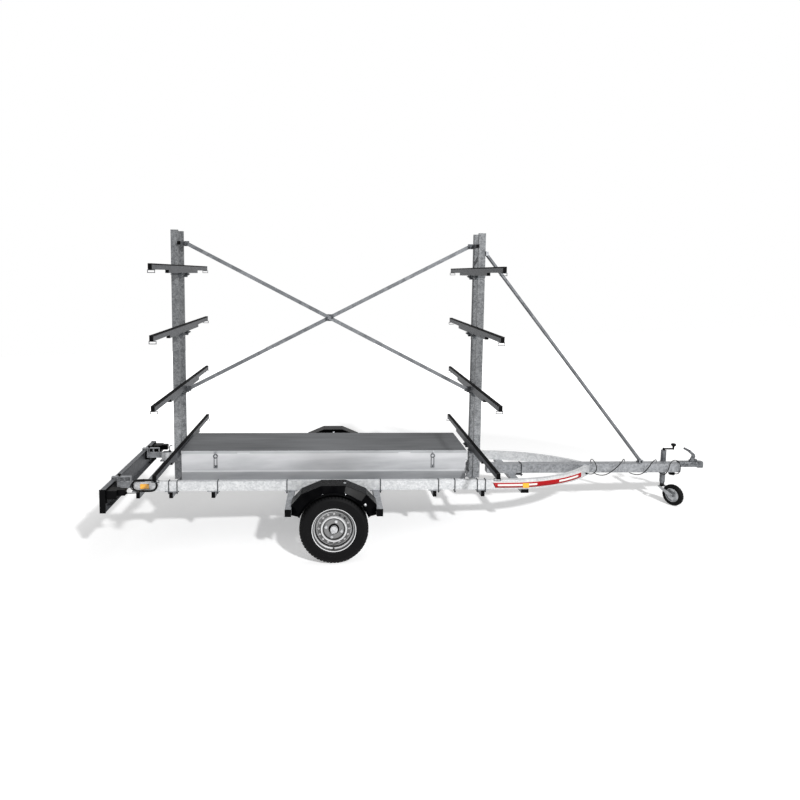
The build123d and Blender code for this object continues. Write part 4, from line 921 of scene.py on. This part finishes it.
def hank_route():
    """The hank's turns in metres, as a loop of long ovals that lie on and beside each other.

    A point on an end is (end + arc cos t, middle + arc sin t) in X and Z. Over its last four points a turn
    moves across towards the next one, and every point is shifted a little at random.
    """
    draws = np.random.default_rng(4)
    places = [y for y, _ in HANK_TURNS] + [HANK_TURNS[-1][0]]
    turns = []
    for (y, larger), next_y in zip(HANK_TURNS, places[1:]):
        arc = HANK_ARC + larger
        spots = []
        for end, angles, sign, run in ((-HANK_HALF_RUN, REAR_ABOVE, 1, RUN_ABOVE),
                                       (HANK_HALF_RUN, FRONT_DOWN, -1, RUN_BELOW),
                                       (-HANK_HALF_RUN, REAR_BELOW, 0, ())):
            spots += [(end + arc * cos(radians(t)), arc * sin(radians(t))) for t in angles]
            spots += [(x, sign * arc + z) for x, z in run]
        spots = np.array(spots)
        over = np.clip((np.arange(len(spots)) - 9) / 5, 0, None) * 0.8
        turn = np.column_stack([HANK_X + spots[:, 0], y + (next_y - y) * over, HANK_Z + spots[:, 1]])
        turns.append(turn + draws.standard_normal(turn.shape) * HAND_WOUND)
    return np.round(np.concatenate(turns)[1:] / 1000, 4).tolist() + HANK_END


def free_cord(name, points, body, diameter):
    """A cord's centre line as one NURBS curve through its control points, with a round section."""
    curve = bpy.data.curves.new(name, "CURVE")
    curve.dimensions = "3D"
    spline = curve.splines.new("NURBS")
    spline.points.add(len(points) - 1)
    placed = stored(np.asarray(points, float) * 1000)
    spline.points.foreach_set("co", np.column_stack([placed, np.ones(len(placed))]).ravel())
    spline.order_u = 3
    spline.use_endpoint_u = True
    spline.resolution_u = 8
    curve.bevel_depth = diameter / 2
    curve.bevel_resolution = 4
    curve.use_fill_caps = True
    curve.materials.append(cable_pvc)
    thing = new_object(name, curve)
    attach(thing, body)
    return thing


def build_cords():
    """The towing cable wound round the drawbar with its plug, and the lamp lead with its hank."""
    cable = free_cord("towing_cable_flex", TOWING_CABLE, "chassis", CABLE_DIAMETER)
    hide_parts("towing_cable")
    end = np.array(TOWING_CABLE[-1]) * 1000
    heading = end - np.array(TOWING_CABLE[-2]) * 1000
    shell = lathe(PLUG_SHELL, end, heading, 40)
    plug = piece("seven_pin_plug", shell, "chassis", plastic, angle=0.5)
    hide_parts("cable_plug")
    lead = free_cord("lamp_lead_flex", LAMP_LEAD + hank_route(), "light_carrier", LEAD_DIAMETER)
    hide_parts("lamp_lead", "lead_hank")


# The box's two latches along X
LATCH_XS = (-1010, 855)
# Beside a latch's X: its keeper's plate from corner to corner, the pin's foot, and the rivets in the base
KEEPER_PLATE = np.array(((-13, -299.5, 727), (13, -296, 745)))
PIN_FOOT = (0, -303.5, 712)
RIVET_SPOTS = ((-9, -298, 608), (9, -298, 608))
# Turned sections of a keeper's pin and a rivet
KEEPER_PIN = [(0.3, 0), (3, 0), (3, 26), (0.3, 26)]
RIVET = [(0.2, 0), (4, 0), (3, 2.4), (0.2, 2.8)]


def box_latches():
    """Keepers on the lid's flange, which lift with it, and rivets in the latches' bases on the tub."""
    keepers, rivets = [], []
    for x in LATCH_XS:
        middle = np.array((x, 0, 0))
        keepers.append(slab(*(middle + KEEPER_PLATE)))
        keepers.append(lathe(KEEPER_PIN, middle + PIN_FOOT, (0, 0, 1), 12))
        rivets += [lathe(RIVET, middle + spot, (0, -1, 0), 14) for spot in RIVET_SPOTS]
    piece("latch_keepers", joined(keepers), "toolbox_lid", bright_zinc)
    piece("latch_rivets", joined(rivets), "chassis", bright_zinc)


# Right mudguard seen from the side, as (X, height over the axle); its lip's rings as (radius, Y)
GUARD_OUTLINE = [
    (-336, 108), (-335, 188), (-258, 274), (-100, 341),
    (92, 342), (254, 273), (335, 188), (336, 108),
]
GUARD_FOOT = GUARD_OUTLINE[0][1]
# How far the bevel's outer edge and the inner flange's lower edge are drawn towards the axle
GUARD_BEVEL = 0.84
GUARD_FLANGE = 0.79
# How much higher the left guard is, and the height over its foot at which all of that is reached
LEFT_GUARD_LIFT = 76.0
GUARD_LIFTS = (0.0, LEFT_GUARD_LIFT)
LIFT_REACH = 160.0
# How far before a fold the ring beside it lies, and how thick the moulding is
FOLD = 3.0
GUARD_WALL = 3.5
GUARD_INNER_Y, GUARD_SHOULDER_Y, GUARD_FACE_Y = 653.0, 806.0, 838.0
GUARD_LIP = [(304, 839), (300, 840), (298, 846), (294, 860), (292, 865.5), (290, 867), (288, 865)]


def guard_rise(height, lift):
    """How much a guard's point is raised, by its height over the axle."""
    return lift * np.clip((height - GUARD_FOOT) / LIFT_REACH, 0, 1)


def mudguard(name, node, side, lift):
    """Moulded guard as a grid: rings go from foot to foot, columns from the inner edge out to the lip.

    A ring on the outline is the outline at even steps of its length; the inner flange and the bevel are
    the same ring drawn towards the axle, (x, z) * share, kept above the foot; a lip ring is an arc,
    (r cos t, r sin t), from foot height to foot height.
    """
    outline = np.array(GUARD_OUTLINE, float)
    lengths = np.hypot(*np.diff(outline, axis=0).T)
    corners = np.concatenate([[0], np.cumsum(lengths)])
    even = np.linspace(0, corners[-1], 90)
    steps = np.unique(np.concatenate([even, corners, corners[1:-1] - 5, corners[1:-1] + 5]))
    full = np.stack([np.interp(steps, corners, outline[:, k]) for k in (0, 1)], -1)
    bevel, flange = full * GUARD_BEVEL, full * GUARD_FLANGE
    for ring in (bevel, flange):
        ring[:, 1] = np.maximum(ring[:, 1], GUARD_FOOT)
    rings = [
        (flange, GUARD_INNER_Y), (full * 0.99, GUARD_INNER_Y), (full, GUARD_INNER_Y + FOLD),
        (full, GUARD_SHOULDER_Y - FOLD), (full * 0.996, GUARD_SHOULDER_Y),
        (bevel * 1.004, GUARD_FACE_Y - FOLD / 2), (bevel, GUARD_FACE_Y),
    ]
    bearing = np.unwrap(np.arctan2(full[:, 1], -full[:, 0]))
    share = (bearing - bearing[0]) / (bearing[-1] - bearing[0])
    for radius, y in GUARD_LIP:
        start = np.arcsin(GUARD_FOOT / radius)
        arc = start + share * (pi - 2 * start)
        rings.append((np.stack([-radius * np.cos(arc), radius * np.sin(arc)], -1), y))
    points = np.zeros((len(steps), len(rings), 3))
    for column, (ring, y) in enumerate(rings):
        points[:, column, 0] = ring[:, 0]
        points[:, column, 1] = side * y
        points[:, column, 2] = AXLE_Z + ring[:, 1] + guard_rise(ring[:, 1], lift)
    if side > 0:
        points = points[::-1]
    guard = piece(name, surface(points), "chassis", guard_plastic, angle=0.35)
    wall = guard.modifiers.new("wall", "SOLIDIFY")
    wall.thickness = GUARD_WALL / 1000
    wall.offset = -1
    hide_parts(node)


def build_mudguards():
    """Both mudguards; in the photograph the left one shows higher over the box than the right one."""
    for (side, name), lift in zip(NAMED_SIDES, GUARD_LIFTS):
        mudguard(f"moulded_guard_{name}", f"mudguard_{name}", side, lift)


# Bolts on a guard's outer face, as (X, height over the axle), and their domed heads' section
FACE_BOLTS = ((242, 200), (-86, 277), (86, 277))
RIGHT_TOP_BOLT = (84, -740, 342)
LEFT_FLANGE_BOLT = (0, GUARD_INNER_Y, 308)
DOME = [(0.3, -3), (12, -3), (12, 0), (11, 3), (7.6, 5.4), (0.3, 6.4)]


def mudguard_bolts():
    """Dome-headed bolts: on the right guard's top, on the left guard's inner flange, on both outer faces."""
    shapes = [
        lathe(DOME, np.add(RIGHT_TOP_BOLT, (0, 0, AXLE_Z)), (0, 0, 1), 20),
        lathe(DOME, np.add(LEFT_FLANGE_BOLT, (0, 0, AXLE_Z + LEFT_GUARD_LIFT)), (0, -1, 0), 20),
    ]
    for side, lift in zip(SIDES, GUARD_LIFTS):
        for x, height in FACE_BOLTS:
            place = (x, side * GUARD_FACE_Y, AXLE_Z + height + guard_rise(height, lift))
            shapes.append(lathe(DOME, place, (0, side, 0), 20))
    piece("mudguard_bolts", joined(shapes), "chassis", bright_zinc)


# Studio

# Half the floor's side, metres
FLOOR_HALF = 14.0
# How strongly the floor is lifted towards white, near the trailer and from the far distance on, metres
LIFT_NEAR, LIFT_FAR = (2.9, 0.33), (5.2, 1.1)
# How bright the surroundings light the trailer, and how bright they are seen
SKY_LIGHT, SKY_SEEN = 0.3, 1.0
# Columns: name, place and size in metres, watts
LIGHTS = (
    ("key", (4.2, -10.9, 8.0), 0.6, 1900),
    ("top", (0.0, 0.5, 6.5), 5.0, 45),
    ("fill", (-4.5, -4.0, 3.0), 3.0, 25),
)
LIGHTS_AIM = (0.0, 0.0, 0.6)
# The photograph's camera, solved on the level frame: pixels, mm and radians
FOCAL_PIXELS = 619.72
OPTICAL_CENTRE = (357.37, 329.52)
FRAME_PIXELS = 800
SENSOR_MM = 36.0
CAMERA_PLACE = (-31.88, -5507.65, 2265.3)
CAMERA_YAW, CAMERA_PITCH, CAMERA_ROLL = 0.04286, 0.090386, -0.009195


def build_camera():
    """The photograph's camera, solved on the level frame and pitched with the trailer."""
    yaw, pitch, roll = CAMERA_YAW, CAMERA_PITCH, CAMERA_ROLL
    forward = Vector((sin(yaw) * cos(pitch), cos(yaw) * cos(pitch), -sin(pitch)))
    level_right = Vector((cos(yaw), -sin(yaw), 0))
    level_down = forward.cross(level_right)
    right = cos(roll) * level_right + sin(roll) * level_down
    down = cos(roll) * level_down - sin(roll) * level_right
    place = Matrix.Translation(Vector(CAMERA_PLACE) / 1000)
    turn = Matrix((right, -down, -forward)).transposed().to_4x4()
    camera = new_object("camera", bpy.data.cameras.new("camera"))
    camera.matrix_world = TO_STORED @ place @ turn
    camera.data.sensor_width = SENSOR_MM
    camera.data.lens = FOCAL_PIXELS * SENSOR_MM / FRAME_PIXELS
    camera.data.shift_x = (FRAME_PIXELS / 2 - OPTICAL_CENTRE[0]) / FRAME_PIXELS
    camera.data.shift_y = (OPTICAL_CENTRE[1] - FRAME_PIXELS / 2) / FRAME_PIXELS
    bpy.context.scene.camera = camera


def seen_by_eye(tree):
    """1 for what the camera sees, directly or mirrored."""
    direct = add(tree, "LightPath", out="Is Camera Ray")
    mirrored = add(tree, "LightPath", out="Is Glossy Ray")
    return add(tree, "Math", {0: direct, 1: mirrored}, operation="MAXIMUM")


def build_floor():
    """Pale floor that takes the trailer's shadow; where it is seen it is lifted to white with distance."""
    material, tree = begin("studio_floor")
    place = add(tree, "TexCoord", out="Object")
    grain = add(tree, "TexNoise", {"Vector": place, "Scale": per_metre(3), "Detail": 2,
                                   "Roughness": FINE_SHARE}, "Fac")
    tone = add(tree, "ValToRGB", {"Fac": grain}, stops=[(0.2, "#e6e6e6"), (0.8, "#ececec")])
    diffuse = add(tree, "BsdfDiffuse", {"Color": tone})
    distance = add(tree, "VectorMath", {0: place}, "Value", operation="LENGTH")
    lift = add(tree, "MapRange", {"Value": distance, "From Min": LIFT_NEAR[0], "From Max": LIFT_FAR[0],
                                  "To Min": LIFT_NEAR[1], "To Max": LIFT_FAR[1]})
    strength = add(tree, "Math", {0: seen_by_eye(tree), 1: lift}, operation="MULTIPLY")
    glow = add(tree, "Emission", {"Color": (1, 1, 1, 1), "Strength": strength})
    add(tree, "OutputMaterial", {"Surface": add(tree, "AddShader", {0: diffuse, 1: glow})})
    mesh = bpy.data.meshes.new("studio_floor")
    corners = [(FLOOR_HALF * x, FLOOR_HALF * y, 0) for x, y in ((-1, -1), (1, -1), (1, 1), (-1, 1))]
    mesh.from_pydata(corners, [], [(0, 1, 2, 3)])
    mesh.materials.append(material)
    new_object("studio_floor", mesh)


def build_lights():
    """Even white surroundings, a key over the camera's right shoulder, a broad top light and a weak fill."""
    world = bpy.data.worlds.new("studio")
    bpy.context.scene.world = world
    tree = blank_tree(world)
    through = add(tree, "LightPath", out="Is Transmission Ray")
    seen = add(tree, "Math", {0: seen_by_eye(tree), 1: through}, operation="MAXIMUM")
    strength = add(tree, "MapRange", {"Value": seen, "To Min": SKY_LIGHT, "To Max": SKY_SEEN})
    sky = add(tree, "Background", {"Color": (1, 1, 1, 1), "Strength": strength})
    add(tree, "OutputWorld", {"Surface": sky})
    for name, place, size, watts in LIGHTS:
        lamp = bpy.data.lights.new(name, "AREA")
        lamp.energy = watts
        lamp.size = size
        holder = new_object(name, lamp)
        holder.location = place
        aim = Vector(LIGHTS_AIM) - Vector(place)
        holder.rotation_euler = aim.to_track_quat("-Z", "Y").to_euler()


dress_nodes()
frame_u_bolts()
mast_u_bolts()
crossing_bolts()
board_knobs()
arm_screws()
side_reflectors()
conspicuity_tape()
build_tyres()
wheel_details()
ribbed_pads()
box_latches()
build_mudguards()
mudguard_bolts()
build_cords()
build_camera()
build_floor()
build_lights()
bpy.context.scene.view_settings.view_transform = "Standard"
